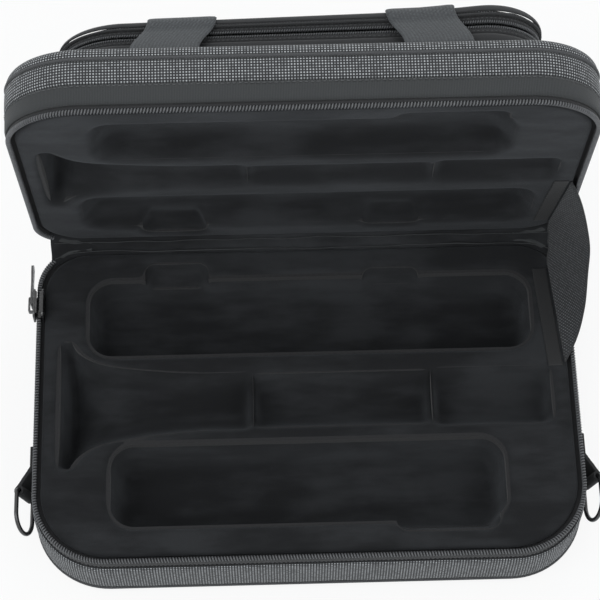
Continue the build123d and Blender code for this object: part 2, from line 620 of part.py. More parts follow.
def build():
    """All nodes by name, in the open position they rest in."""
    nodes = tray_parts()
    closed = lid_parts()
    pocket, pocket_zip_z = pocket_parts()
    closed.update(pocket)
    closed.update(handle_parts())
    gusset, tray_tape, lid_tape = stay_gusset()
    closed["lid_gusset_tape"] = lid_tape

    body, bridge, pivot_x = slider(POCKET_COIL_WIDTH, POCKET_COIL_HEIGHT, POCKET_TAPE,
                                   POCKET_SLIDER_LENGTH, POCKET_SLIDER_LIP)
    coil_x = POCKET_WIDTH / 2 - COIL_INSET - POCKET_COIL_WIDTH / 2
    at_pocket = Pos(coil_x, POCKET_SLIDER_Y, pocket_zip_z)
    closed["pocket_slider"] = at_pocket * Rot(180, 0, 0) * body
    closed["pocket_slider_bridge"] = at_pocket * bridge
    closed["pocket_pull"] = at_pocket * pull(pivot_x, PULL_LENGTH)
    nodes.update({name: opened(shape) for name, shape in closed.items()})
    nodes["stay_gusset"] = gusset
    nodes["tray_gusset_tape"] = tray_tape

    body, bridge, pivot_x = slider(COIL_WIDTH, COIL_HEIGHT, ZIP_TAPE, SLIDER_LENGTH, SLIDER_LIP)
    coil_x = HALF_WIDTH - COIL_INSET - COIL_WIDTH / 2
    at_rim = Pos(coil_x, MAIN_SLIDER_Y, TRAY_HEIGHT)
    ring_wire, ring_tab = ring_and_tab()
    right = {
        "zip_slider": at_rim * body, "zip_slider_bridge": at_rim * bridge,
        "zip_pull": at_rim * pull(pivot_x, PULL_LENGTH), "strap_ring": ring_wire,
        "strap_ring_tab": ring_tab,
    }
    for name, shape in right.items():
        nodes[name + "_right"] = shape
        nodes[name + "_left"] = mirror(shape, about=Plane.YZ)
    return nodes


if __name__ == "__main__":
    os.makedirs("parts", exist_ok=True)
    for name, shape in build().items():
        export_step(shape, "parts/" + name + ".step")
        print(name, len(shape.solids()), round(shape.volume, 1))
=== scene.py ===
"""Looks of an open, zipped clarinet case: cloth, plush, zips, webbing, metal and the studio.

Sizes are in millimetres unless a name says otherwise; meshes are made in metres. Each half of the
case is built with its rim plane at depth 0 and depths growing into the half, then put in place.
"""

import json
import logging
from collections.abc import Callable, Sequence
from dataclasses import dataclass, field
from enum import Enum
from math import asin, atan2, cos, hypot, pi, radians, sin, tan

import bmesh
import bpy
import numpy as np
from mathutils import Matrix, Vector, noise
from mathutils.bvhtree import BVHTree

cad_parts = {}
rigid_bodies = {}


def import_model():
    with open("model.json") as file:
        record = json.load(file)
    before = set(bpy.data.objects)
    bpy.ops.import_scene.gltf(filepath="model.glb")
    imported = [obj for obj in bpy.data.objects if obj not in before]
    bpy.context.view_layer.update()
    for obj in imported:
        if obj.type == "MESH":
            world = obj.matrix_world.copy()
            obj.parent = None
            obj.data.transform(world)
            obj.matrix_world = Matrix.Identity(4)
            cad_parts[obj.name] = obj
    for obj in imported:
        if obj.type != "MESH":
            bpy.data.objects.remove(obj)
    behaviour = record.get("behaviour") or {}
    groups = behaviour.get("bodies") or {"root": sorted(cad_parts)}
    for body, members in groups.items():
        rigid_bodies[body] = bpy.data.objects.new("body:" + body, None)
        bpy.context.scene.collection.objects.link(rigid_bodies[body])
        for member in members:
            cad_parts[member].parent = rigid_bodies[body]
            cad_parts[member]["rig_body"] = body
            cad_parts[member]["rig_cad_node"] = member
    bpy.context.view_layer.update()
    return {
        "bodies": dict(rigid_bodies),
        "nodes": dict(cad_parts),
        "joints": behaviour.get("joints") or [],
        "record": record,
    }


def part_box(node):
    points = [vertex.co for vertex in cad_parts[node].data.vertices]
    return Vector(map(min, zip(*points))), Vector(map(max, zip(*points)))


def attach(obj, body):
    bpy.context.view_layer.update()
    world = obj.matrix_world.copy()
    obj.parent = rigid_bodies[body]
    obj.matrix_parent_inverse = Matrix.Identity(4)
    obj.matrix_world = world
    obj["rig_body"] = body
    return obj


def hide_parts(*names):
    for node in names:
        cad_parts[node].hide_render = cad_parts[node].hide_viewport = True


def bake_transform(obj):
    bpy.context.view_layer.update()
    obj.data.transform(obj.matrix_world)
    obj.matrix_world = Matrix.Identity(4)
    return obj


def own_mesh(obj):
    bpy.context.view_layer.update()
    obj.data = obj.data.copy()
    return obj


LOG = logging.getLogger("clarinet_case")
METRE = 1000.0
WEAVE_MAP = "weave"

Colour = tuple[float, float, float]


# ---------------------------------------------------------------------------------------------
# Small tools for meshes
# ---------------------------------------------------------------------------------------------


def make_object(name: str, verts: np.ndarray, faces: Sequence[Sequence[int]],
                uvs: np.ndarray | None = None, smooth: bool = True) -> bpy.types.Object:
    """Make a mesh object from millimetre vertices.

    Args:
        name: Name of the object.
        verts: Vertices as an (N, 3) array, in millimetres.
        faces: Corner indices of each face.
        uvs: Weave coordinates in millimetres, one pair for each face corner.
        smooth: Whether the faces are shaded smooth.

    Returns:
        The new object, linked to the scene.
    """
    mesh = bpy.data.meshes.new(name)
    mesh.from_pydata((np.asarray(verts) / METRE).tolist(), [], [list(face) for face in faces])
    if uvs is not None:
        layer = mesh.uv_layers.new(name=WEAVE_MAP)
        layer.data.foreach_set("uv", np.asarray(uvs, np.float32).ravel())
    body = bmesh.new()
    body.from_mesh(mesh)
    bmesh.ops.recalc_face_normals(body, faces=body.faces)
    body.to_mesh(mesh)
    body.free()
    mesh.polygons.foreach_set("use_smooth", [smooth] * len(mesh.polygons))
    thing = bpy.data.objects.new(name, mesh)
    bpy.context.scene.collection.objects.link(thing)
    return thing


def apply_modifiers(thing: bpy.types.Object) -> bpy.types.Object:
    """Turn the object's modifiers into plain mesh.

    Args:
        thing: Object whose modifiers are applied.

    Returns:
        The same object, with a new mesh and no modifiers.
    """
    graph = bpy.context.evaluated_depsgraph_get()
    mesh = bpy.data.meshes.new_from_object(thing.evaluated_get(graph))
    thing.modifiers.clear()
    thing.data = mesh
    return thing


def coordinates(thing: bpy.types.Object) -> np.ndarray:
    """Vertices of an object as an (N, 3) array in millimetres."""
    flat = np.empty(len(thing.data.vertices) * 3, np.float32)
    thing.data.vertices.foreach_get("co", flat)
    return flat.reshape(-1, 3).astype(float) * METRE


def set_coordinates(thing: bpy.types.Object, verts: np.ndarray) -> None:
    """Move the vertices of an object to millimetre positions."""
    thing.data.vertices.foreach_set("co", (verts / METRE).astype(np.float32).ravel())
    thing.data.update()


def ripple(point: Sequence[float], scale: float, seed: float = 0.0) -> float:
    """Smooth noise from -1 to 1 at a point in millimetres, for folds of a given size."""
    return noise.noise(Vector((point[0] / scale + seed, point[1] / scale, point[2] / scale)))


def soft_step(value: float, low: float, high: float) -> float:
    """Smooth rise from 0 at low to 1 at high."""
    share = min(1.0, max(0.0, (value - low) / (high - low)))
    return share * share * (3 - 2 * share)


# ---------------------------------------------------------------------------------------------
# Material nodes
# ---------------------------------------------------------------------------------------------


class Shader:
    """A material's node tree, with short calls for the nodes that the finishes use."""

    def __init__(self, name: str) -> None:
        """Start an empty material with a principled surface."""
        self.material = bpy.data.materials.new(name)
        self.material.use_nodes = True
        self.tree = self.material.node_tree
        self.tree.nodes.clear()
        self.surface = self.tree.nodes.new("ShaderNodeBsdfPrincipled")
        self.output = self.tree.nodes.new("ShaderNodeOutputMaterial")
        self.tree.links.new(self.surface.outputs[0], self.output.inputs[0])

    def node(self, kind: str, inputs: dict[int | str, object] | None = None,
             **settings: object) -> bpy.types.Node:
        """Add a node.

        Args:
            kind: Node type without its common beginning.
            inputs: Values or output sockets for its inputs.
            **settings: Node properties.

        Returns:
            The node.
        """
        made = self.tree.nodes.new("ShaderNode" + kind)
        for key, value in settings.items():
            setattr(made, key, value)
        for key, value in (inputs or {}).items():
            self.feed(made.inputs[key], value)
        return made

    def feed(self, socket: bpy.types.NodeSocket, value: object) -> None:
        """Link an output to an input socket, or set the input's own value."""
        if isinstance(value, bpy.types.NodeSocket):
            self.tree.links.new(value, socket)
        elif isinstance(value, tuple) and len(value) == 3 and socket.type == "RGBA":
            socket.default_value = (*value, 1.0)
        else:
            socket.default_value = value

    def math(self, operation: str, *values: object) -> bpy.types.NodeSocket:
        """Result of a math node on sockets or numbers."""
        return self.node("Math", dict(enumerate(values)), operation=operation).outputs[0]

    def vector(self, operation: str, *values: object) -> bpy.types.NodeSocket:
        """Vector result of a vector math node."""
        return self.node("VectorMath", dict(enumerate(values)), operation=operation).outputs[0]

    def mix(self, share: object, low: object, high: object) -> bpy.types.NodeSocket:
        """Colour between two colours."""
        made = self.node("Mix", data_type="RGBA")
        self.feed(made.inputs[0], share)
        self.feed(made.inputs[6], low)
        self.feed(made.inputs[7], high)
        return made.outputs[2]

    def ramp(self, value: object, low: float, high: float) -> bpy.types.NodeSocket:
        """Smooth rise of a value from 0 at low to 1 at high."""
        return self.node("MapRange", {0: value, 1: low, 2: high}, interpolation_type="SMOOTHSTEP",
                         clamp=True).outputs[0]

    def threads(self, pitch: tuple[float, float]) -> bpy.types.NodeSocket:
        """Weave coordinates counted in threads of the given pitch, in millimetres."""
        uv = self.node("UVMap", uv_map=WEAVE_MAP).outputs[0]
        return self.vector("MULTIPLY", uv, (1 / pitch[0], 1 / pitch[1], 1.0))

    def place(self) -> bpy.types.NodeSocket:
        """Place on the piece itself, in metres."""
        return self.node("TexCoord").outputs["Object"]

    def clouds(self, scale: float, detail: float = 3.0,
               vector: bpy.types.NodeSocket | None = None) -> bpy.types.NodeSocket:
        """Noise from 0 to 1 at a number of waves per metre."""
        where = vector if vector is not None else self.place()
        return self.node("TexNoise", {"Vector": where, "Scale": scale, "Detail": detail}).outputs[0]

    def finish(self, colour: object, roughness: object, height: object = None, depth_mm: float = 0.1,
               **fixed: object) -> bpy.types.Material:
        """Fill in the surface.

        Args:
            colour: Base colour.
            roughness: Roughness.
            height: Height from 0 to 1 for the bump, or None.
            depth_mm: Depth of the bump in millimetres.
            **fixed: Other inputs by name, with spaces as underscores.

        Returns:
            The finished material.
        """
        self.feed(self.surface.inputs["Base Color"], colour)
        self.feed(self.surface.inputs["Roughness"], roughness)
        for key, value in fixed.items():
            socket = self.surface.inputs[key.replace("_", " ")]
            socket.default_value = (*value, 1.0) if isinstance(value, tuple) else value
        if height is not None:
            bump = self.node("Bump", {"Height": height, "Distance": depth_mm / METRE, "Strength": 1.0})
            self.feed(self.surface.inputs["Normal"], bump.outputs[0])
        return self.material


@dataclass(frozen=True)
class DottedNylon:
    """Charcoal nylon with a square grid of light dots."""

    name: str = "dotted_nylon"
    ground: Colour = (0.0085, 0.009, 0.010)
    dot: Colour = (0.46, 0.47, 0.485)
    pitch: float = 1.65
    dot_radius: float = 0.27

    def build(self) -> bpy.types.Material:
        """Make the material."""
        shader = Shader(self.name)
        threads = shader.threads((self.pitch, self.pitch))
        cell = shader.vector("FRACTION", threads)
        centred = shader.vector("SUBTRACT", cell, (0.5, 0.5, 0.0))
        flat = shader.vector("MULTIPLY", centred, (1.0, 1.0, 0.0))
        radius = shader.node("VectorMath", {0: flat}, operation="LENGTH").outputs["Value"]
        dot = shader.math("SUBTRACT", 1.0, shader.ramp(radius, self.dot_radius - 0.10, self.dot_radius + 0.10))
        number = shader.vector("FLOOR", threads)
        chance = shader.node("TexWhiteNoise", {0: number}, noise_dimensions="3D").outputs["Value"]
        worn = shader.math("MULTIPLY", dot, shader.ramp(chance, -0.8, 0.9))
        fine = shader.node("TexNoise", {"Vector": shader.threads((0.22, 0.3)), "Scale": 1.0, "Detail": 2.0})
        ground = shader.mix(shader.math("MULTIPLY", fine.outputs[0], 0.5), self.ground, (0.032, 0.034, 0.037))
        colour = shader.mix(worn, ground, self.dot)
        height = shader.math("ADD", shader.math("MULTIPLY", dot, 0.7), shader.math("MULTIPLY", fine.outputs[0], 0.3))
        return shader.finish(colour, 0.82, height, 0.16, Sheen_Weight=0.08, Sheen_Roughness=0.5)


@dataclass(frozen=True)
class Ribbed:
    """Woven band or webbing with ribs along it and across it."""

    name: str
    low: Colour
    high: Colour
    pitch: tuple[float, float]
    slant: float = 0.0
    depth: float = 0.12
    sheen: float = 0.1

    def build(self) -> bpy.types.Material:
        """Make the material."""
        shader = Shader(self.name)
        threads = shader.threads(self.pitch)
        parts = shader.node("SeparateXYZ", {0: threads}).outputs
        slanted = shader.math("ADD", parts[0], shader.math("MULTIPLY", parts[1], self.slant))
        ribs = shader.math("MULTIPLY_ADD", shader.math("SINE", shader.math("MULTIPLY", slanted, 2 * pi)), 0.5, 0.5)
        picks = shader.math("MULTIPLY_ADD", shader.math("SINE", shader.math("MULTIPLY", parts[1], 2 * pi)), 0.5, 0.5)
        weave = shader.math("MULTIPLY", ribs, shader.math("MULTIPLY_ADD", picks, 0.45, 0.55))
        grain = shader.node("TexNoise", {"Vector": threads, "Scale": 0.9, "Detail": 3.0}).outputs[0]
        light = shader.math("MULTIPLY", weave, shader.math("MULTIPLY_ADD", grain, 1.2, 0.2))
        cloud = shader.clouds(18.0)
        colour = shader.mix(light, self.low, self.high)
        shade = shader.mix(shader.math("MULTIPLY", cloud, 0.35), colour, self.low)
        return shader.finish(shade, 0.85, weave, self.depth, Sheen_Weight=self.sheen, Sheen_Roughness=0.45)


@dataclass(frozen=True)
class PlainCloth:
    """Fine plain-woven cloth whose weave follows the piece, not a weave map."""

    name: str
    low: Colour = (0.016, 0.0165, 0.018)
    high: Colour = (0.034, 0.035, 0.038)
    threads_per_metre: float = 1500.0
    roughness: float = 0.8

    def build(self) -> bpy.types.Material:
        """Make the material."""
        shader = Shader(self.name)
        spread = shader.vector("MULTIPLY", shader.place(), (2 * pi * self.threads_per_metre,) * 3)
        waves = [shader.math("SINE", part) for part in shader.node("SeparateXYZ", {0: spread}).outputs]
        weave = shader.math("MULTIPLY_ADD", shader.math("MULTIPLY", waves[0], shader.math(
            "ADD", waves[1], waves[2])), 0.25, 0.5)
        grain = shader.clouds(900.0, 4.0)
        colour = shader.mix(shader.math("MULTIPLY", weave, grain), self.low, self.high)
        return shader.finish(colour, self.roughness, weave, 0.05, Sheen_Weight=0.12, Sheen_Roughness=0.4)


@dataclass(frozen=True)
class Plush:
    """Short black plush whose nap carries paler clouds, laid by noise, as painted highlights."""

    pile: Colour = (0.0072, 0.0075, 0.0083)
    # painted highlight: colour of the nap where light would catch it
    painted_nap_highlight: Colour = (0.0235, 0.0245, 0.0265)

    def build(self) -> bpy.types.Material:
        """Make the material."""
        shader = Shader("plush")
        wide = shader.clouds(16.0, 4.0)
        streak = shader.clouds(1.0, 3.0, shader.vector("MULTIPLY", shader.place(), (30.0, 110.0, 110.0)))
        fibre = shader.clouds(2600.0, 2.0)
        # painted highlight: noise clouds and streaks mark where the nap is painted as lit
        painted_nap_highlight = shader.ramp(shader.math("MULTIPLY_ADD", streak, 0.45, shader.math(
            "MULTIPLY", wide, 0.6)), 0.42, 0.70)
        highlight_share = shader.math("MULTIPLY", painted_nap_highlight, shader.math("MULTIPLY_ADD", fibre, 0.9, 0.5))
        colour = shader.mix(highlight_share, self.pile, self.painted_nap_highlight)
        return shader.finish(colour, 0.95, fibre, 0.22, Sheen_Weight=0.2, Sheen_Roughness=0.6,
                             Sheen_Tint=(0.35, 0.37, 0.4), Specular_IOR_Level=0.25)


@dataclass(frozen=True)
class Metal:
    """Black lacquered metal with rubbed high spots."""

    name: str
    lacquer: Colour = (0.012, 0.012, 0.013)
    rubbed: Colour = (0.075, 0.075, 0.078)
    roughness: float = 0.26
    wear: float = 0.6

    def build(self) -> bpy.types.Material:
        """Make the material."""
        shader = Shader(self.name)
        point = shader.node("NewGeometry").outputs["Pointiness"]
        edge = shader.ramp(point, 0.52, 0.60)
        scuffs = shader.clouds(260.0, 6.0)
        rub = shader.math("MULTIPLY", shader.math("MULTIPLY", edge, shader.ramp(scuffs, 0.35, 0.7)), self.wear)
        colour = shader.mix(rub, self.lacquer, self.rubbed)
        rough = shader.math("MULTIPLY_ADD", scuffs, 0.16, self.roughness - 0.08)
        return shader.finish(colour, rough, scuffs, 0.02, Coat_Weight=0.5, Coat_Roughness=0.14,
                             Specular_IOR_Level=0.6)


@dataclass(frozen=True)
class Nylon:
    """Moulded nylon of the zip coils, or thread."""

    name: str
    colour: Colour
    bright: Colour
    roughness: float = 0.34

    def build(self) -> bpy.types.Material:
        """Make the material."""
        shader = Shader(self.name)
        cloud = shader.clouds(420.0, 3.0)
        colour = shader.mix(cloud, self.colour, self.bright)
        return shader.finish(colour, self.roughness, cloud, 0.02, Specular_IOR_Level=0.6)


class Finish(Enum):
    """Every finish of the case, by the slot of the record that it belongs to."""

    DOTTED = "patterned_nylon"
    NYLON = "plain_nylon"
    BAND = "ribbed_band"
    PIPING = "piping"
    PLUSH = "plush"
    FOAM = "foam"
    TAPE = "zip_tape"
    COIL = "zip_coil"
    SEAM = "seam_tape"
    WEBBING = "webbing"
    GRIP = "grip_cover"
    METAL = "black_metal"
    RING = "ring_metal"


class Wardrobe:
    """Builds each finish once and dresses pieces in it."""

    def __init__(self) -> None:
        """Build all finishes."""
        dark, dim = (0.010, 0.0102, 0.011), (0.040, 0.041, 0.044)
        makers = {
            Finish.DOTTED: DottedNylon(),
            Finish.NYLON: Ribbed("plain_nylon", (0.012, 0.0122, 0.013), (0.052, 0.053, 0.057), (0.55, 0.55)),
            Finish.BAND: Ribbed("ribbed_band", (0.020, 0.0215, 0.0225), (0.062, 0.066, 0.069), (0.85, 0.5)),
            Finish.PIPING: Ribbed("piping", dark, (0.075, 0.077, 0.081), (0.8, 0.8), slant=1.0),
            Finish.PLUSH: Plush(),
            Finish.FOAM: PlainCloth("moulded_foam", (0.012, 0.012, 0.013), (0.022, 0.022, 0.024), 260.0, 0.9),
            Finish.TAPE: Ribbed("zip_tape", dark, dim, (0.6, 0.9), slant=0.5),
            Finish.COIL: Nylon("zip_coil", (0.055, 0.056, 0.060), (0.150, 0.153, 0.160), 0.42),
            Finish.SEAM: PlainCloth("seam_tape", (0.0075, 0.0078, 0.0085), (0.019, 0.0195, 0.021)),
            Finish.WEBBING: Ribbed("webbing", (0.012, 0.013, 0.0145), (0.200, 0.212, 0.224), (1.9, 0.95), slant=1.0,
                                   depth=0.2, sheen=0.15),
            Finish.GRIP: PlainCloth("grip_cover", (0.014, 0.0145, 0.016), (0.036, 0.037, 0.040), 700.0),
            Finish.METAL: Metal("black_metal"),
            Finish.RING: Metal("ring_metal", (0.008, 0.008, 0.009), (0.05, 0.05, 0.052), 0.14, 0.3),
        }
        self.materials = {finish: maker.build() for finish, maker in makers.items()}
        self.thread = Nylon("sewing_thread", (0.03, 0.031, 0.033), (0.10, 0.103, 0.107), 0.6).build()
        # stay's dotted nylon: dots dimmed as painted shade, ground a paler grey as painted sheen
        self.reverse = DottedNylon("nylon_reverse", (0.019, 0.0195, 0.0215), (0.155, 0.160, 0.168)).build()
        self.cord = Ribbed("case_piping", (0.022, 0.0225, 0.024), (0.175, 0.178, 0.185), (0.8, 0.8), slant=1.0).build()

    def dress(self, thing: bpy.types.Object, finish: Finish) -> bpy.types.Object:
        """Give a piece its finish.

        Args:
            thing: The piece.
            finish: The finish.

        Returns:
            The same piece.
        """
        thing.data.materials.clear()
        thing.data.materials.append(self.materials[finish])
        return thing

    def dress_as(self, thing: bpy.types.Object, material: bpy.types.Material, finish: Finish) -> bpy.types.Object:
        """Give a piece a look of its own.

        Args:
            thing: The piece.
            material: Its look, such as the thread of stitches or the stay's dotted nylon with painted shade and sheen.
            finish: Not used.

        Returns:
            The same piece.
        """
        thing.data.materials.clear()
        thing.data.materials.append(material)
        return thing


# ---------------------------------------------------------------------------------------------
# Round-cornered runs and what is swept along them
# ---------------------------------------------------------------------------------------------


@dataclass
class Run:
    """Stations along a round-cornered outline: places, outward normals and the length so far."""

    points: np.ndarray
    normals: np.ndarray
    lengths: np.ndarray
    closed: bool

    def offset(self, inset: float) -> np.ndarray:
        """Places of the run drawn in from the outline."""
        return self.points - self.normals * inset

    def between(self, y_limit: float) -> "Run":
        """The stretch of the outline in front of a line across the case."""
        keep = self.points[:, 1] <= y_limit + 1e-6
        return Run(self.points[keep], self.normals[keep], self.lengths[keep], False)


@dataclass(frozen=True)
class Outline:
    """Round-cornered rectangle about the middle of the case."""

    width: float
    depth: float
    front_corner: float
    back_corner: float

    def drawn_in(self, inset: float) -> "Outline":
        """The same outline drawn in on every side."""
        return Outline(self.width - 2 * inset, self.depth - 2 * inset, self.front_corner - inset,
                       self.back_corner - inset)

    def run(self, step: float, extra_y: Sequence[float] = ()) -> Run:
        """Walk round the outline, from the middle of the back over the left to the front.

        Args:
            step: Greatest distance between stations.
            extra_y: Places along Y that get a station of their own on both sides.

        Returns:
            The closed run.
        """
        half_x, half_y = self.width / 2, self.depth / 2
        front, back = self.front_corner, self.back_corner
        points, normals = [], []

        def straight(start: tuple[float, float], end: tuple[float, float], normal: tuple[float, float]) -> None:
            first, last = Vector(start), Vector(end)
            count = max(1, round((last - first).length / step))
            stops = [first.lerp(last, i / count) for i in range(count)]
            if normal[1] == 0:
                stops += [Vector((first.x, y)) for y in extra_y if min(first.y, last.y) < y < max(first.y, last.y)]
                stops.sort(key=lambda stop: (stop - first).length)
            points.extend(stops)
            normals.extend([normal] * len(stops))

        def turn(centre: tuple[float, float], corner: float, first: float) -> None:
            count = max(4, round(corner * pi / 2 / step))
            angles = [radians(first) + pi / 2 * i / count for i in range(count)]
            for y in extra_y:
                rise = (y - centre[1]) / corner
                if first in (0, 90) and 0 < rise < 1:
                    angles.append(asin(rise) if first == 0 else pi - asin(rise))
            for angle in sorted(angles):
                normals.append((cos(angle), sin(angle)))
                points.append(Vector((centre[0] + corner * cos(angle), centre[1] + corner * sin(angle))))

        straight((0, half_y), (back - half_x, half_y), (0.0, 1.0))
        turn((back - half_x, half_y - back), back, 90)
        straight((-half_x, half_y - back), (-half_x, front - half_y), (-1.0, 0.0))
        turn((front - half_x, front - half_y), front, 180)
        straight((front - half_x, -half_y), (half_x - front, -half_y), (0.0, -1.0))
        turn((half_x - front, front - half_y), front, 270)
        straight((half_x, front - half_y), (half_x, half_y - back), (1.0, 0.0))
        turn((half_x - back, half_y - back), back, 0)
        straight((half_x - back, half_y), (0, half_y), (0.0, 1.0))
        places = np.array([tuple(point) for point in points])
        steps = np.hypot(*np.diff(places, axis=0).T)
        return Run(places, np.array(normals), np.concatenate([[0], np.cumsum(steps)]), True)

    def half_width_at(self, y: float) -> float:
        """Half the width of the outline at a place along Y."""
        corner = self.back_corner if y > 0 else self.front_corner
        past = abs(y) - (self.depth / 2 - corner)
        if past <= 0:
            return self.width / 2
        return self.width / 2 - corner + (max(0.0, corner ** 2 - past ** 2)) ** 0.5

    def back_at(self, x: float) -> float:
        """Place of the back edge along Y at a place along X."""
        past = abs(x) - (self.width / 2 - self.back_corner)
        if past <= 0:
            return self.depth / 2
        return self.depth / 2 - self.back_corner + (max(0.0, self.back_corner ** 2 - past ** 2)) ** 0.5

    def outward(self, x: float, y: float) -> tuple[float, float]:
        """Direction out of the outline at a place near its edge."""
        corner = self.back_corner if y > 0 else self.front_corner
        flat_x = self.width / 2 - corner
        centre_x = max(-flat_x, min(flat_x, x))
        centre_y = max(self.front_corner - self.depth / 2, min(self.depth / 2 - self.back_corner, y))
        length = hypot(x - centre_x, y - centre_y) or 1.0
        return (x - centre_x) / length, (y - centre_y) / length


@dataclass(frozen=True)
class Panel:
    """Grid that fills a round-cornered outline, with a skirt that turns down round it."""

    edge: Outline
    rim: float
    step: float
    skirt: tuple[tuple[float, float], ...]

    def rows(self) -> list[float]:
        """Places of the rows along Y, closer together in the corners."""
        edge, half = self.edge, self.edge.depth / 2
        count = round((edge.depth - edge.front_corner - edge.back_corner) / self.step)
        places = np.linspace(edge.front_corner - half, half - edge.back_corner, count + 1).tolist()
        for corner, sign in ((edge.front_corner, -1), (edge.back_corner, 1)):
            turns = max(8, round(corner * pi / 2 / self.step))
            places += [sign * (half - corner * (1 - sin(pi / 2 * i / turns))) for i in range(1, turns + 1)]
        return sorted(places)

    def build(self, level: Callable[[float, float], float], fall: float) -> tuple[np.ndarray, list, np.ndarray]:
        """Fill the outline and turn the skirt down.

        Args:
            level: Depth at a place.
            fall: 1 where the skirt runs to greater depth, -1 where it runs to less.

        Returns:
            Vertices, faces and the weave coordinates of each face corner.
        """
        shares = np.linspace(-1, 1, int(self.edge.width / self.step) + 1)
        rows, row = self.rows(), len(shares)
        verts = []
        for y in rows:
            reach = self.edge.half_width_at(y) * (1 - 2 * self.rim / self.edge.width)
            y *= 1 - 2 * self.rim / self.edge.depth
            verts += [(share * reach, y, level(share * reach, y)) for share in shares]
        woven = [place[:2] for place in verts]
        faces = [(a, a + 1, a + row + 1, a + row) for i in range(len(rows) - 1)
                 for a in range(i * row, i * row + row - 1)]
        last = (len(rows) - 1) * row
        border = list(range(row)) + [i * row + row - 1 for i in range(1, len(rows))]
        border += list(range(last + row - 2, last - 1, -1)) + [i * row for i in range(len(rows) - 2, 0, -1)]
        previous, travel, before = border, 0.0, (0.0, 0.0)
        for out, down in self.skirt:
            travel += hypot(out - before[0], down - before[1])
            ring = list(range(len(verts), len(verts) + len(border)))
            for index in border:
                x, y, depth = verts[index]
                way = self.edge.outward(x, y)
                verts.append((x + way[0] * out, y + way[1] * out, depth + fall * down))
                woven.append((x + way[0] * travel, y + way[1] * travel))
            for i in range(len(border)):
                j = (i + 1) % len(border)
                faces.append((previous[i], previous[j], ring[j], ring[i]))
            previous, before = ring, (out, down)
        return np.array(verts), faces, np.array([woven[index] for face in faces for index in face])


Relief = Callable[[float, float, np.ndarray], float]


@dataclass(frozen=True)
class Profile:
    """Cross-section swept along a run, as pairs of inset and depth."""

    points: tuple[tuple[float, float], ...]
    closed: bool = True

    def lengths(self) -> np.ndarray:
        """Length along the section at each of its points."""
        places = np.array(self.points)
        steps = np.hypot(*np.diff(places, axis=0).T)
        return np.concatenate([[0], np.cumsum(steps)])


def cloth_section(start: float, end: float, thickness: float, crown: float = 0.0, inset: float = 0.0,
                  count: int = 8) -> Profile:
    """Section of a strip of cloth that stands between two depths and bellies outward.

    Args:
        start: First depth.
        end: Last depth.
        thickness: Thickness of the cloth.
        crown: How far its middle stands out.
        inset: How far its outer face is drawn in.
        count: Steps along the strip.

    Returns:
        The closed section.
    """
    outer, inner = [], []
    for i in range(count + 1):
        share = i / count
        belly = crown * (1 - (2 * share - 1) ** 4)
        tuck = 0.35 * thickness * (abs(2 * share - 1) > 0.999)
        depth = start + (end - start) * share
        outer.append((inset - belly + tuck, depth))
        inner.append((inset + thickness, depth))
    return Profile(tuple(outer + inner[::-1]))


def round_section(centre: tuple[float, float], radii: tuple[float, float], count: int = 10) -> Profile:
    """Oval section about a centre given as inset and depth."""
    return Profile(tuple((centre[0] + radii[0] * cos(2 * pi * i / count),
                          centre[1] + radii[1] * sin(2 * pi * i / count)) for i in range(count)))


class Half(Enum):
    """The two halves of the case, with the body that carries each."""

    TRAY = "tray"
    LID = "lid"


@dataclass
class CaseFrame:
    """Main places of the case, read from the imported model."""

    outline: Outline
    tray_height: float
    lid_height: float
    hinge_y: float
    opening: float

    @classmethod
    def read(cls, frame: dict) -> "CaseFrame":
        """Read the case's main sizes from the nodes and the lid's joint.


        Returns:
            The sizes.
        """
        low, high = (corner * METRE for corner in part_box("tray_side_panel"))
        hinge = next(joint for joint in frame["joints"] if joint["name"] == "lid_hinge")
        opening = hinge["range_deg"][1]
        rim = hinge["pos_m"][2] * METRE
        turned = hinge["pos_m"][1] * METRE
        lid_top = max(
            (vertex.co.y * METRE - turned) * sin(radians(opening)) + (vertex.co.z * METRE - rim) * cos(radians(opening))
            for vertex in frame["nodes"]["lid_top_panel"].data.vertices)
        outline = Outline(high.x - low.x, high.y - low.y, FRONT_CORNER, BACK_CORNER)
        return cls(outline, rim, lid_top, turned, opening)

    def place(self, verts: np.ndarray, half: Half) -> np.ndarray:
        """Move vertices given as x, y and depth into one half to where that half rests."""
        verts = np.array(verts, float)
        if half is Half.TRAY:
            verts[:, 2] = self.tray_height - verts[:, 2]
            return verts
        turn = radians(self.opening)
        back, up = verts[:, 1] - self.hinge_y, verts[:, 2].copy()
        verts[:, 1] = self.hinge_y + back * cos(turn) + up * sin(turn)
        verts[:, 2] = self.tray_height - back * sin(turn) + up * cos(turn)
        return verts

    def unplace(self, verts: np.ndarray, half: Half) -> np.ndarray:
        """Turn resting vertices of one half back into x, y and depth."""
        verts = np.array(verts, float)
        if half is Half.TRAY:
            verts[:, 2] = self.tray_height - verts[:, 2]
            return verts
        turn = radians(self.opening)
        back, up = verts[:, 1] - self.hinge_y, verts[:, 2] - self.tray_height
        verts[:, 1] = self.hinge_y + back * cos(turn) - up * sin(turn)
        verts[:, 2] = back * sin(turn) + up * cos(turn)
        return verts


FRONT_CORNER = 45.0
BACK_CORNER = 30.0
CLOTH = 1.2


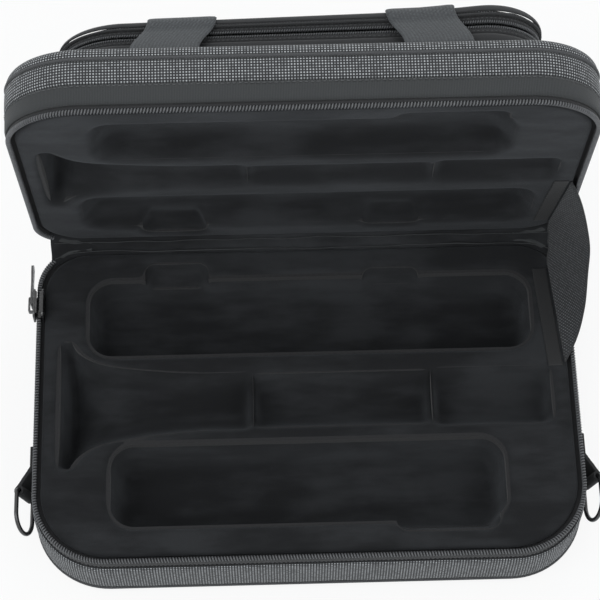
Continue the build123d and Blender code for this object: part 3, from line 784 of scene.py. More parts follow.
@dataclass
class Maker:
    """What every sub-assembly needs: the frame, the finishes, and calls that build and seat."""

    frame: dict
    case: CaseFrame
    wardrobe: Wardrobe
    made: list[bpy.types.Object] = field(default_factory=list)

    def sweep(self, name: str, run: Run, profile: Profile, half: Half,
              relief: Relief | None = None) -> bpy.types.Object:
        """Sweep a section along a run and put it in its half.

        Args:
            name: Name of the piece.
            run: Stations to follow.
            profile: Section as inset and depth.
            half: Half of the case that it belongs to.
            relief: Extra outward distance for a run length, section length and place.

        Returns:
            The piece, not dressed yet.
        """
        section = np.array(profile.points)
        along = profile.lengths()
        rows, columns = len(run.points), len(section)
        verts = np.empty((rows, columns, 3))
        for j, (inset, depth) in enumerate(section):
            verts[:, j, :2] = run.offset(inset)
            verts[:, j, 2] = depth
        if relief is not None:
            for i in range(rows):
                for j in range(columns):
                    push = relief(run.lengths[i], along[j], verts[i, j])
                    verts[i, j, :2] += run.normals[i] * push
        faces, uvs = [], []
        last_row = rows if run.closed else rows - 1
        last_column = columns if profile.closed else columns - 1
        total = run.lengths[-1] + float(np.hypot(*(run.points[0] - run.points[-1])))
        round_trip = along[-1] + float(np.hypot(*(section[0] - section[-1])))
        for i in range(last_row):
            next_row = (i + 1) % rows
            u = (run.lengths[i], run.lengths[i + 1] if i + 1 < rows else total)
            for j in range(last_column):
                next_column = (j + 1) % columns
                v = (along[j], along[j + 1] if j + 1 < columns else round_trip)
                faces.append((i * columns + j, next_row * columns + j,
                              next_row * columns + next_column, i * columns + next_column))
                uvs.extend([(u[0], v[0]), (u[1], v[0]), (u[1], v[1]), (u[0], v[1])])
        if not run.closed and profile.closed:
            for row in (0, rows - 1):
                faces.append([row * columns + j for j in range(columns)])
                uvs.extend(section.tolist())
        flat = self.case.place(verts.reshape(-1, 3), half)
        return make_object(name, flat, faces, np.array(uvs))

    def coil(self, name: str, run: Run, half: Half, centre: tuple[float, float],
             radii: tuple[float, float], pitch: float, wire: float) -> bpy.types.Object:
        """Wind a zip's coil round its cord along a run.

        Args:
            name: Name of the piece.
            run: Stations to follow, closer together than the pitch.
            half: Half of the case, or of the pocket, that it belongs to.
            centre: Inset and depth of the coil's middle.
            radii: Half its width and half its height, to the middle of the wire.
            pitch: Distance between turns.
            wire: Radius of the wire.

        Returns:
            The piece, not dressed yet.
        """
        segments, sides = 12, 5
        base = run.offset(centre[0])
        travel = run.lengths - run.lengths[0]
        turns = int(travel[-1] / pitch)
        steps = np.arange(turns * segments + 1) / segments
        where = steps * pitch
        x = np.interp(where, travel, base[:, 0])
        y = np.interp(where, travel, base[:, 1])
        normal = np.stack([np.interp(where, travel, run.normals[:, k]) for k in (0, 1)], 1)
        normal /= np.linalg.norm(normal, axis=1)[:, None]
        angle = 2 * pi * steps
        squared_out = np.sign(np.cos(angle)) * np.abs(np.cos(angle)) ** 0.6
        squared_up = np.sign(np.sin(angle)) * np.abs(np.sin(angle)) ** 0.6
        middle = np.stack([x + normal[:, 0] * radii[0] * squared_out, y + normal[:, 1] * radii[0] * squared_out,
                           centre[1] + radii[1] * squared_up], 1)
        ahead = np.gradient(middle, axis=0)
        ahead /= np.linalg.norm(ahead, axis=1)[:, None]
        tangent = np.stack([-normal[:, 1], normal[:, 0], np.zeros(len(x))], 1)
        side = np.cross(ahead, tangent)
        side /= np.linalg.norm(side, axis=1)[:, None]
        up = np.cross(side, ahead)
        ring = 2 * pi * np.arange(sides) / sides
        verts = (middle[:, None, :] + wire * (np.cos(ring)[None, :, None] * side[:, None, :]
                                              + np.sin(ring)[None, :, None] * up[:, None, :]))
        count = len(middle)
        index = np.arange(count * sides).reshape(count, sides)
        after = np.roll(index, -1, axis=1)
        quads = np.stack([index[:-1], index[1:], after[1:], after[:-1]], -1).reshape(-1, 4).tolist()
        quads += [index[0].tolist(), index[-1].tolist()]
        flat = self.case.place(verts.reshape(-1, 3), half)
        return make_object(name, flat, quads)

    def stitches(self, name: str, run: Run, half: Half, inset: float, depth: float, pitch: float = 3.2,
                 length: float = 2.2, thick: float = 0.32, proud: float = 0.12) -> bpy.types.Object:
        """Lay a row of stitches on the outer face of a strip.

        Args:
            name: Name of the piece.
            run: Stations to follow.
            half: Half of the case that it belongs to.
            inset: Inset of the face that they lie on.
            depth: Depth of the row.
            pitch: Distance between stitches.
            length: Length of a stitch.
            thick: Half its thickness.
            proud: How far its middle stands off the face.

        Returns:
            The piece, not dressed yet.
        """
        base = run.offset(inset - proud)
        travel = run.lengths - run.lengths[0]
        starts = np.arange(pitch / 2, travel[-1] - pitch / 2, pitch)
        verts, faces = [], []
        for start in starts:
            row = []
            for share in (0.0, 0.2, 0.8, 1.0):
                at = start + length * share
                fat = thick if 0.1 < share < 0.9 else thick * 0.35
                sunk = 0.0 if 0.1 < share < 0.9 else -2 * proud
                x, y = (np.interp(at, travel, base[:, k]) for k in (0, 1))
                nx, ny = (np.interp(at, travel, run.normals[:, k]) for k in (0, 1))
                for turn in (0, 1, 2, 3):
                    out, up = fat * cos(turn * pi / 2) + sunk, fat * sin(turn * pi / 2)
                    row.append((x + nx * out, y + ny * out, depth + up))
            first = len(verts)
            verts.extend(row)
            for ring in range(3):
                for turn in range(4):
                    a, b = first + ring * 4 + turn, first + ring * 4 + (turn + 1) % 4
                    faces.append((a, b, b + 4, a + 4))
            faces.append(tuple(first + turn for turn in range(4)))
            faces.append(tuple(first + 12 + turn for turn in range(4)))
        return make_object(name, self.case.place(np.array(verts), half), faces)

    def seat(self, thing: bpy.types.Object, finish: Finish, body: str,
             replaced: Sequence[str] = ()) -> bpy.types.Object:
        """Dress a piece, let it ride on its body and hide the nodes it stands for.

        Args:
            thing: The piece.
            finish: Its finish.
            body: Body that it rides on.
            replaced: Nodes that it stands for.

        Returns:
            The same piece.
        """
        self.wardrobe.dress(thing, finish)
        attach(thing, body)
        if replaced:
            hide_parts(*replaced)
        self.made.append(thing)
        LOG.info("%s rides on %s: %d faces", thing.name, body, len(thing.data.polygons))
        return thing

    def sew(self, thing: bpy.types.Object, finish: Finish, body: str) -> bpy.types.Object:
        """Seat a row of stitches."""
        self.wardrobe.dress_as(thing, self.wardrobe.thread, finish)
        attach(thing, body)
        self.made.append(thing)
        return thing

    def swell(self, thing: bpy.types.Object, pressure: float, held: Callable[[np.ndarray], bool],
              room: Callable[[np.ndarray], float], frames: int = 20) -> None:
        """Args:
            thing: The piece.
            pressure: Pressure inside it.
            held: Whether a resting place lies on a seam that holds the cloth.
            room: How far the cloth at a resting place may move.
            frames: Length of the simulation.
        """
        rest = coordinates(thing)
        seam = thing.vertex_groups.new(name="seam")
        seam.add([index for index, place in enumerate(rest) if held(place)], 1.0, "REPLACE")
        cloth = thing.modifiers.new("cloth", "CLOTH")
        cloth.settings.quality = 6
        cloth.settings.use_pressure = True
        cloth.settings.uniform_pressure_force = pressure
        cloth.settings.vertex_group_mass = seam.name
        cloth.settings.effector_weights.gravity = 0.0
        cloth.point_cache.frame_start, cloth.point_cache.frame_end = 1, frames
        scene = bpy.context.scene
        for number in range(1, frames + 1):
            scene.frame_set(number)
        moved = coordinates(thing.evaluated_get(bpy.context.evaluated_depsgraph_get()))
        thing.modifiers.clear()
        thing.vertex_groups.clear()
        scene.frame_set(1)
        step = moved - rest
        size = np.maximum(np.linalg.norm(step, axis=1), 1e-6)
        limit = np.array([max(1e-3, room(place)) for place in rest])
        set_coordinates(thing, rest + step * (limit * np.tanh(size / limit) / size)[:, None])
        LOG.info("%s swells by up to %.1f mm", thing.name, float((limit * np.tanh(size / limit)).max()))

    def soften(self, node: str, voxel: float, smoothing: int = 6, name: str | None = None) -> bpy.types.Object:
        """Copy a node's form with its edges rounded as sewn cloth has them.

        Args:
            node: Node to copy.
            voxel: Size of the remeshing, in millimetres.
            smoothing: Rounds of smoothing.
            name: Name of the copy.

        Returns:
            The piece, not dressed yet.
        """
        copy = self.frame["nodes"][node].copy()
        copy.data = copy.data.copy()
        copy.name = name or node + "_cloth"
        copy.parent = None
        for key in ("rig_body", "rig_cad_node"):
            if key in copy:
                del copy[key]
        bpy.context.scene.collection.objects.link(copy)
        remesh = copy.modifiers.new("remesh", "REMESH")
        remesh.mode = "VOXEL"
        remesh.voxel_size = voxel / METRE
        remesh.use_smooth_shade = True
        smooth = copy.modifiers.new("smooth", "SMOOTH")
        smooth.factor = 0.5
        smooth.iterations = smoothing
        return apply_modifiers(copy)


# ---------------------------------------------------------------------------------------------
# Sub-assemblies
# ---------------------------------------------------------------------------------------------


@dataclass
class Cover:
    """Sewn cloth outside of one half: end panel, piping, patterned wall and plain band."""

    maker: Maker
    half: Half
    height: float
    tape_depth: float
    band_depth: float
    end_node: str
    end_finish: Finish
    edge_radius: float = 7.0
    seam_height: float = 7.2
    piping_height: float = 2.0
    piping_proud: float = 0.8
    wall_crown: float = 0.55
    crease: float = 0.35

    def build(self) -> None:
        """Build every cloth piece of this half."""
        name = self.half.value
        run = self.maker.case.outline.run(4.0)
        wall_low = self.height - self.seam_height - self.piping_height
        wall_high = self.tape_depth + self.band_depth
        wall = self.maker.sweep(name + "_patterned_wall", run, cloth_section(
            wall_high, wall_low, CLOTH, self.wall_crown, count=10), self.half, self.wrinkle)
        self.maker.seat(wall, Finish.DOTTED, name, [name + "_side_panel"])
        if self.band_depth:
            band = self.maker.sweep(name + "_woven_band", run, cloth_section(
                self.tape_depth, wall_high - 0.1, CLOTH, 0.25, count=6), self.half, self.wrinkle)
            self.maker.seat(band, Finish.BAND, name, [name + "_band"])
            hem = self.maker.stitches(name + "_band_stitches", run, self.half, -0.2, wall_high - 1.3)
            self.maker.sew(hem, Finish.BAND, name)
        self.build_piping(run)
        self.build_end()

    def wrinkle(self, along: float, across: float, place: np.ndarray) -> float:
        """Shallow waves of the cloth over its foam."""
        return self.crease * (ripple(place, 38.0, 3.0) + 0.4 * ripple(place, 13.0, 9.0))

    def build_piping(self, run: Run) -> None:
        """Corded seam between the wall and the end panel."""
        centre = (0.35, self.height - self.seam_height - self.piping_height / 2)
        bead = self.maker.sweep(self.half.value + "_piping_cord", run, round_section(
            centre, (self.piping_proud + 0.35, self.piping_height / 2)), self.half)
        self.maker.seat(bead, Finish.PIPING, self.half.value, [self.half.value + "_piping"])
        self.maker.wardrobe.dress_as(bead, self.maker.wardrobe.cord, Finish.PIPING)

    def build_end(self) -> None:
        """End panel that curves from the seam over the edge to the flat."""
        radius = self.edge_radius
        outer = [(0.15, self.height - self.seam_height)]
        outer += [(radius * (1 - cos(a)), self.height - radius * (1 - sin(a))) for a in
                  (i * pi / 16 for i in range(9))]
        reach = self.maker.case.outline.back_corner - 3.0
        flats = [radius + (reach - radius) * share for share in (0.25, 0.5, 0.75, 1.0)]
        outer += [(inset, self.height) for inset in flats]
        run = self.maker.case.outline.run(4.0)
        body = self.maker.sweep("", run, Profile(tuple(outer), closed=False), self.half)
        self.close_flat(body, len(outer))
        solid = body.modifiers.new("thickness", "SOLIDIFY")
        solid.thickness = CLOTH / METRE
        solid.offset = -1.0
        apply_modifiers(body)
        body.name = self.half.value + "_end_cover"
        self.maker.seat(body, self.end_finish, self.half.value, [self.end_node])

    def close_flat(self, body: bpy.types.Object, columns: int) -> None:
        """Fill the middle of an end panel with one flat face.

        Args:
            body: Swept border of the panel.
            columns: Points of its section.
        """
        mesh = bmesh.new()
        mesh.from_mesh(body.data)
        mesh.verts.ensure_lookup_table()
        rim = [vertex for vertex in mesh.verts if vertex.index % columns == columns - 1]
        face = mesh.faces.new(rim)
        layer = mesh.loops.layers.uv.active
        flat = self.maker.case.unplace(np.array([vertex.co for vertex in rim]) * METRE, self.half)
        for loop, place in zip(face.loops, flat):
            loop[layer].uv = (place[0], place[1])
        face.smooth = True
        bmesh.ops.recalc_face_normals(mesh, faces=mesh.faces)
        mesh.to_mesh(body.data)
        mesh.free()


@dataclass
class MainZip:
    """Tape and coil of one rim, with the stitching beside the coil."""

    maker: Maker
    half: Half
    tape_depth: float
    coil_inset: float = 0.4
    coil_width: float = 3.0
    coil_height: float = 3.05
    rim_gap: float = 0.65
    end_y: float = 96.0
    pitch: float = 1.75
    wire: float = 0.46

    def build(self) -> None:
        """Build the tape, the coil on its cord and the stitches."""
        name = self.half.value
        fine = self.maker.case.outline.run(0.8, (self.end_y,)).between(self.end_y)
        run = self.maker.case.outline.run(3.0, (self.end_y,)).between(self.end_y)
        bottom = self.rim_gap + self.coil_height
        middle = self.coil_inset + self.coil_width / 2
        tape = self.maker.sweep(name + "_tape", run, cloth_section(
            bottom - 0.4, self.tape_depth, 1.0, 0.1, middle - 0.5, count=5), self.half)
        self.maker.seat(tape, Finish.TAPE, name, [name + "_zip_tape"])
        centre = (middle, self.rim_gap + self.coil_height / 2)
        radii = (self.coil_width / 2 - self.wire, self.coil_height / 2 - self.wire)
        coil = self.maker.coil(name + "_coil_turns", fine, self.half, centre, radii, self.pitch, self.wire)
        self.maker.seat(coil, Finish.COIL, name, [name + "_zip_coil"])
        core = self.maker.sweep(name + "_coil_cord", run, round_section(
            centre, (radii[0] - 0.1, radii[1] - 0.1), 8), self.half)
        self.maker.seat(core, Finish.TAPE, name)
        if self.tape_depth - bottom > 4:
            row = self.maker.stitches(name + "_tape_stitches", run, self.half, middle - 0.5,
                                      self.tape_depth - 1.2, 2.6, 1.8, 0.24)
            self.maker.sew(row, Finish.TAPE, name)


@dataclass
class PlushLiner:
    """Plush over the moulded foam of one half, read from the node and softened."""

    maker: Maker
    half: Half
    inset: float = 5.4
    drop: float = 2.5
    floor: float = 6.5
    cell: float = 0.8
    blur: float = 2.3
    step: float = 1.7
    thickness: float = 1.3
    edge_round: float = 2.4

    def build(self) -> None:
        """Build the liner."""
        node = self.half.value + "_plush_liner"
        heights = self.read_depths(node)
        turned = [(self.edge_round * sin(a), self.edge_round * (1 - cos(a))) for a in
                  (i * pi / 10 for i in range(1, 6))]
        turned.append((self.edge_round, self.floor - self.drop))
        panel = Panel(self.maker.case.outline.drawn_in(self.inset), self.edge_round, self.step, tuple(turned))

        def level(x: float, y: float) -> float:
            """Depth of the pile, with the small unevenness of its nap."""
            return heights(x, y) + 0.16 * ripple((x, y, 0), 16.0) + 0.09 * ripple((x, y, 5), 5.0)

        verts, faces, _ = panel.build(level, 1.0)
        liner = make_object(self.half.value + "_plush", self.maker.case.place(verts, self.half), faces)
        solid = liner.modifiers.new("pile", "SOLIDIFY")
        solid.thickness = self.thickness / METRE
        solid.offset = -1.0
        apply_modifiers(liner)
        self.maker.seat(liner, Finish.PLUSH, self.half.value, [node])

    def read_depths(self, node: str) -> Callable[[float, float], float]:
        """Measure the node's depth below the rim on a fine grid and blur it.

        Args:
            node: Liner node.

        Returns:
            A function that gives the soft depth at a place.
        """
        source = self.maker.frame["nodes"][node]
        places = self.maker.case.unplace(coordinates(source), self.half)
        tree = BVHTree.FromPolygons(places.tolist(), [tuple(face.vertices) for face in source.data.polygons])
        half_x, half_y = self.maker.case.outline.width / 2, self.maker.case.outline.depth / 2
        xs = np.arange(-half_x, half_x + self.cell, self.cell)
        ys = np.arange(-half_y, half_y + self.cell, self.cell)
        depths = np.full((len(xs), len(ys)), self.drop)
        down = Vector((0, 0, 1))
        for i, x in enumerate(xs):
            for j, y in enumerate(ys):
                hit = tree.ray_cast(Vector((x, y, -20.0)), down)[0]
                if hit is not None:
                    depths[i, j] = max(self.drop, hit.z)
        inside = [abs(y) < half_y - self.inset - 3 for y in ys]
        depths[:, ~np.array(inside)] = self.drop
        reach = int(3 * self.blur / self.cell)
        kernel = np.exp(-0.5 * (np.arange(-reach, reach + 1) * self.cell / self.blur) ** 2)
        kernel /= kernel.sum()
        for axis in (0, 1):
            depths = np.apply_along_axis(lambda line: np.convolve(line, kernel, "same"), axis, depths)
        edge = reach + 1
        depths[:edge], depths[-edge:], depths[:, :edge], depths[:, -edge:] = (self.drop,) * 4

        def depth(x: float, y: float) -> float:
            """Soft depth at a place, between the four grid points round it."""
            a = min(max((x - xs[0]) / self.cell, 0), len(xs) - 2)
            b = min(max((y - ys[0]) / self.cell, 0), len(ys) - 2)
            i, j = int(a), int(b)
            a, b = a - i, b - j
            return float((depths[i, j] * (1 - a) + depths[i + 1, j] * a) * (1 - b)
                         + (depths[i, j + 1] * (1 - a) + depths[i + 1, j + 1] * a) * b)

        return depth


@dataclass
class Pocket:
    """Zipped accessory pocket: gusset, two tapes and coils, piping and padded cover."""

    maker: Maker
    lid_height: float
    width: float = 272.0
    depth: float = 156.0
    corner: float = 38.0
    height: float = 33.0
    face_height: float = 5.6
    piping: float = 1.4
    upper_tape: float = 2.6
    coil_width: float = 2.2
    coil_height: float = 2.1
    coil_gap: float = 1.3
    lower_tape: float = 3.0
    wall: float = 2.4
    zip_end_y: float = 66.0
    pitch: float = 1.35
    wire: float = 0.34
    puff: float = 4.2
    edge: float = 5.0
    slack: tuple[float, float] = (0.27, 0.08)
    handle_x: float = 75.0
    grip_y: tuple[float, float] = (-50.0, -12.0)

    def build(self) -> None:
        """Build the pocket from the lid outward."""
        outline = Outline(self.width, self.depth, self.corner, self.corner)
        whole = outline.run(3.0, (self.zip_end_y,))
        front = whole.between(self.zip_end_y)
        fine = outline.run(0.7).between(self.zip_end_y)
        top = self.lid_height + self.height
        face = top - self.face_height
        piping = face - self.piping
        upper_top = piping - self.upper_tape
        upper = upper_top - self.coil_height
        lower_top = upper - self.coil_gap
        lower = lower_top - self.coil_height
        gusset_top = lower - self.lower_tape
        make = self.maker
        gusset = make.sweep("pocket_gusset_cloth", whole, cloth_section(
            self.lid_height, gusset_top, self.wall, 0.7, count=8), Half.LID, self.crease)
        make.seat(gusset, Finish.NYLON, "lid", ["pocket_gusset"])
        middle = 0.4 + self.coil_width / 2
        for name, low, high in (("lower", gusset_top, lower + 0.3), ("upper", upper_top - 0.3, piping)):
            tape = make.sweep(f"pocket_{name}_tape", front, cloth_section(
                low, high, 0.9, 0.1, middle - 0.45, count=4), Half.LID)
            make.seat(tape, Finish.TAPE, "lid", [f"pocket_{name}_zip_tape"])
            row = make.stitches(f"pocket_{name}_stitches", front, Half.LID, middle - 0.45,
                                (low + high) / 2, 2.6, 1.8, 0.24)
            make.sew(row, Finish.TAPE, "lid")
        radii = (self.coil_width / 2 - self.wire, self.coil_height / 2 - self.wire)
        for name, low in (("lower", lower), ("upper", upper)):
            centre = (middle, low + self.coil_height / 2)
            coil = make.coil(f"pocket_{name}_coil_turns", fine, Half.LID, centre, radii, self.pitch, self.wire)
            make.seat(coil, Finish.COIL, "lid", [f"pocket_{name}_zip_coil"])
            core = make.sweep(f"pocket_{name}_coil_cord", front, round_section(
                centre, (radii[0] - 0.05, radii[1] - 0.05), 8), Half.LID)
            make.seat(core, Finish.TAPE, "lid")
        self.build_back(whole, gusset_top, piping)
        bead = make.sweep("pocket_piping_cord", whole, round_section(
            (0.4, (piping + face) / 2), (1.2, self.piping / 2 + 0.25)), Half.LID)
        make.seat(bead, Finish.PIPING, "lid", ["pocket_piping"])
        binding = make.sweep("pocket_binding", whole, Profile(tuple(
            (self.edge * (1 - cos(a)) - 0.45, face + 0.6 + self.edge * 0.98 * sin(a) + 0.3) for a in
            (i * pi / 18 for i in range(8))), closed=False), Half.LID)
        solid = binding.modifiers.new("thickness", "SOLIDIFY")
        solid.thickness = 0.8 / METRE
        solid.offset = 0.0
        make.seat(apply_modifiers(binding), Finish.NYLON, "lid")
        self.build_cover(outline, face)
        for thing in make.made:
            if thing.name.startswith("pocket_"):
                self.sag(thing)

    def sag(self, thing: bpy.types.Object) -> None:
        """Let a piece sink with the slack front of the empty pocket, most at the left."""
        case = self.maker.case
        places = case.unplace(coordinates(thing), Half.LID)
        for place in places:
            slack = self.slack[0] + (self.slack[1] - self.slack[0]) * (place[0] / self.width + 0.5)
            slack *= (1 - soft_step(place[1], -55.0, 18.0)) * (1 - soft_step(place[0], 60.0, 126.0))
            place[2] -= slack * max(0.0, place[2] - self.lid_height - 2.0)
        set_coordinates(thing, case.place(places, Half.LID))

    def crease(self, along: float, across: float, place: np.ndarray) -> float:
        """Shallow waves of the pocket's unsupported side."""
        return 0.5 * ripple(place, 30.0, 17.0) + 0.2 * ripple(place, 9.0, 4.0)

    def build_back(self, whole: Run, low: float, high: float) -> None:
        """Cloth behind the zip's ends, next to the hinge."""
        keep = whole.points[:, 1] >= self.zip_end_y + 0.3
        order = np.roll(np.arange(len(keep)), len(keep) - int(np.argmin(keep)))
        order = [index for index in order if keep[index]]
        points = whole.points[order]
        steps = np.hypot(*np.diff(points, axis=0).T)
        run = Run(points, whole.normals[order], np.concatenate([[0], np.cumsum(steps)]), False)
        back = self.maker.sweep("pocket_back_cloth", run, cloth_section(low, high, self.wall, 0.5, count=6),
                                Half.LID, self.crease)
        self.maker.seat(back, Finish.NYLON, "lid", ["pocket_back_panel"])

    def build_cover(self, outline: Outline, face: float) -> None:
        """Padded front cover between its corded seams."""
        edge, top = self.edge, face + self.face_height
        turned = [(edge * sin(a), edge * (1 - cos(a))) for a in (i * pi / 12 for i in range(1, 7))]
        turned.append((edge, self.face_height))
        panel = Panel(outline, edge, 4.0, tuple(turned))
        verts, faces, uvs = panel.build(lambda x, y: top + 0.2 * ripple((x, y, 0), 34.0, 2.0), -1.0)
        cover = make_object("pocket_cover", self.maker.case.place(verts, Half.LID), faces, uvs)
        self.face_out(cover)

        def held(place: np.ndarray) -> bool:
            """Whether a place lies on the cover's seam."""
            return self.closed(place)[2] < face + 1.6

        def room(place: np.ndarray) -> float:
            """How far the cover may rise: little under the handle, more beside it."""
            x, y, _ = self.closed(place)
            beside = soft_step(abs(abs(x) - self.handle_x), 18.0, 34.0)
            inside = soft_step(y, self.grip_y[0] - 14, self.grip_y[0]) * (abs(x) < self.handle_x)
            below = beside * (1 - inside) + 0.4 * beside * inside
            return 0.25 + self.puff * max(below, soft_step(y, self.grip_y[1] + 2, self.grip_y[1] + 22))

        self.maker.swell(cover, 4.0, held, room)
        finer = cover.modifiers.new("finer", "SUBSURF")
        finer.levels = 1
        solid = cover.modifiers.new("thickness", "SOLIDIFY")
        solid.thickness = CLOTH / METRE
        solid.offset = -1.0
        apply_modifiers(cover)
        self.maker.seat(cover, Finish.DOTTED, "lid", ["pocket_face_panel", "pocket_face_band"])

    def closed(self, place: np.ndarray) -> np.ndarray:
        """Resting place as x, y and depth in the lid."""
        return self.maker.case.unplace(np.array([place]), Half.LID)[0]

    def face_out(self, cover: bpy.types.Object) -> None:
        """Turn the cover's faces outward, away from the lid."""
        outward = Vector(self.maker.case.place(np.array([[0, 0, 1.0]]), Half.LID)[0]
                         - self.maker.case.place(np.array([[0, 0, 0.0]]), Half.LID)[0])
        middle = min(cover.data.polygons, key=lambda face: (face.center - Vector(
            self.maker.case.place(np.array([[0, 0, self.lid_height + self.height]]), Half.LID)[0]) / METRE).length)
        if middle.normal.dot(outward) < 0:
            cover.data.flip_normals()


@dataclass
class Handle:
    """Webbing handle that lies back over the pocket, with its padded grip and anchors."""

    maker: Maker
    pocket: Pocket
    webbing: float = 38.0
    thick: float = 2.0
    spacing: float = 150.0
    clearance: float = 0.5
    root_offset: float = 10.0
    roll: float = 1.5
    reach: float = 66.0
    lift: float = 5.0
    ramp: float = 10.0
    lean: float = 9.5

    def spine(self) -> list[tuple[float, float]]:
        """Side view of a leg, from its root to its fold, as places along Y and depth."""
        pocket_top = self.pocket.lid_height + self.pocket.height
        front = -self.pocket.depth / 2
        root = (front - self.root_offset, self.pocket.lid_height + CLOTH + 0.3 + self.roll)
        wall_y = front - 0.8 - self.clearance - self.thick / 2
        flat = pocket_top + self.clearance + self.thick / 2
        lifted = flat + self.lift
        tip = front + self.reach
        end = tip - self.webbing - self.ramp / 2
        corners = [root, (wall_y, pocket_top - self.ramp), (wall_y, flat), (end - self.ramp, flat),
                   (end, lifted), (tip, lifted)]
        return self.rounded(corners, [12.0, 6.0, 10.0, 10.0])

    def rounded(self, corners: list[tuple[float, float]], radii: list[float]) -> list[tuple[float, float]]:
        """Replace each inner corner of a line with an arc.

        Args:
            corners: Corners of the line.
            radii: Radius at each inner corner.

        Returns:
            Points along straight runs and arcs.
        """
        path = [Vector(corners[0])]
        for before, here, after, radius in zip(corners, corners[1:], corners[2:], radii):
            a, b, c = Vector(before), Vector(here), Vector(after)
            first, second = (a - b).normalized(), (c - b).normalized()
            half = first.angle(second) / 2
            back = radius / tan(half)
            centre = b + (first + second).normalized() * (radius / sin(half))
            start, end = b + first * back, b + second * back
            from_angle = atan2(start.y - centre.y, start.x - centre.x)
            sweep = (atan2(end.y - centre.y, end.x - centre.x) - from_angle + pi) % (2 * pi) - pi
            for i in range(9):
                angle = from_angle + sweep * i / 8
                path.append(centre + radius * Vector((cos(angle), sin(angle))))
        path.append(Vector(corners[-1]))
        dense = []
        for start, end in zip(path, path[1:]):
            count = max(1, int((end - start).length / 3.0))
            dense += [start.lerp(end, i / count) for i in range(count)]
        return [tuple(point) for point in dense + [path[-1]]]

    def strip(self, name: str, path: list[tuple[float, float, float]], ups: list[tuple[float, float, float]],
              across: tuple[float, float, float]) -> bpy.types.Object:
        """Flat woven strap along a path.

        Args:
            name: Name of the strap.
            path: Middle line as x, y and depth.
            ups: Normal of the strap at each point.
            across: Direction of its width.

        Returns:
            The strap, not dressed yet.
        """
        section = []
        shares = [-1, -0.985, -0.94, -0.8, -0.5, 0, 0.5, 0.8, 0.94, 0.985, 1]
        for share in shares:
            section.append((share, 0.5 * (1 - abs(share) ** 12) ** 0.5 + 0.06 * (abs(share) < 0.95)))
        ring = section + [(share, -high) for share, high in section[::-1][1:-1]]
        verts, uvs, faces = [], [], []
        side = np.array(across, float)
        travel = np.concatenate([[0], np.cumsum([np.linalg.norm(np.subtract(b, a)) for a, b in zip(path, path[1:])])])
        for place, up in zip(path, ups):
            for share, high in ring:
                cup = 0.5 * (share ** 2) * 0.6
                verts.append(np.array(place) + side * share * self.webbing / 2
                             + np.array(up) * (high * self.thick + cup * 0.5))
        columns = len(ring)
        for i in range(len(path) - 1):
            for j in range(columns):
                k = (j + 1) % columns
                faces.append((i * columns + j, (i + 1) * columns + j, (i + 1) * columns + k, i * columns + k))
                v0, v1 = ring[j][0] * self.webbing / 2, ring[k][0] * self.webbing / 2
                uvs += [(v0, travel[i]), (v0, travel[i + 1]), (v1, travel[i + 1]), (v1, travel[i])]
        for row in (0, len(path) - 1):
            faces.append([row * columns + j for j in range(columns)])
            uvs += [(ring[j][0], ring[j][1]) for j in range(columns)]
        flat = self.maker.case.place(np.array(verts), Half.LID)
        return make_object(name, flat, faces, np.array(uvs))

    def build(self) -> None:
        """Build the two legs, the cross piece, the grip and the anchors."""
        line = self.spine()
        tip = line[-1][0]
        fold = tip - self.webbing
        make = self.maker
        pieces = []
        for side in (-1, 1):
            x = side * self.spacing / 2
            path, ups = [], []
            for index, (y, depth) in enumerate(line):
                a, b = line[max(0, index - 1)], line[min(len(line) - 1, index + 1)]
                run = Vector((b[0] - a[0], b[1] - a[1])).normalized()
                lean = self.lean * soft_step(depth, line[0][1] + 2, line[-1][1] - self.lift - 3)
                lean *= 1 - soft_step(y, -self.pocket.depth / 2 + 2, fold)
                path.append((x - side * lean + 0.4 * ripple((y, depth, side * 9.0), 20.0), y, depth))
                ups.append((0.0, -run.y, run.x))
            leg = self.strip(f"handle_leg_{'left' if side < 0 else 'right'}", path, ups, (1, 0, 0))
            self.trim(leg, x, side, tip, fold)
            pieces.append(leg)
        depth = line[-1][1] + self.thick
        half = self.spacing / 2 + self.webbing / 2
        path = [(-half + 2 * half * i / 40, tip - self.webbing / 2, depth) for i in range(41)]
        cross = self.strip("handle_cross", path, [(0, 0, 1)] * 41, (0, 1, 0))
        for side in (-1, 1):
            self.trim(cross, side * self.spacing / 2, side, tip, fold, inside=True)
        pieces.append(cross)
        strap = self.join(pieces, "handle_webbing")
        make.seat(strap, Finish.WEBBING, "handle", ["handle_strap"])
        self.pocket.sag(strap)
        self.build_grip()
        self.build_anchors(line[0][0])

    def trim(self, thing: bpy.types.Object, x: float, side: int, tip: float, fold: float,
             inside: bool = False) -> None:
        """Cut a strap off along the diagonal of its folded corner.

        Args:
            thing: The strap.
            x: Middle of the leg.
            side: -1 at the left, 1 at the right.
            tip: Far edge of the cross piece.
            fold: Near edge of the cross piece.
            inside: Not used.
        """
        inner, outer = x - side * self.webbing / 2, x + side * self.webbing / 2
        ends = self.maker.case.place(np.array([[inner, tip, 0], [outer, fold, 0], [inner, tip, 10.0]]), Half.LID) / METRE
        a, b, c = (Vector(end) for end in ends)
        normal = (b - a).cross(c - a).normalized()
        probe = self.maker.case.place(np.array([[outer, tip, 0]]), Half.LID)[0] / METRE
        if normal.dot(Vector(probe) - a) < 0:
            normal = -normal
        mesh = bmesh.new()
        mesh.from_mesh(thing.data)
        cut = bmesh.ops.bisect_plane(mesh, geom=mesh.verts[:] + mesh.edges[:] + mesh.faces[:], plane_co=a,
                                     plane_no=normal, clear_outer=True, dist=1e-7)
        edges = [piece for piece in cut["geom_cut"] if isinstance(piece, bmesh.types.BMEdge)]
        bmesh.ops.holes_fill(mesh, edges=edges, sides=0)
        bmesh.ops.recalc_face_normals(mesh, faces=mesh.faces)
        mesh.to_mesh(thing.data)
        mesh.free()

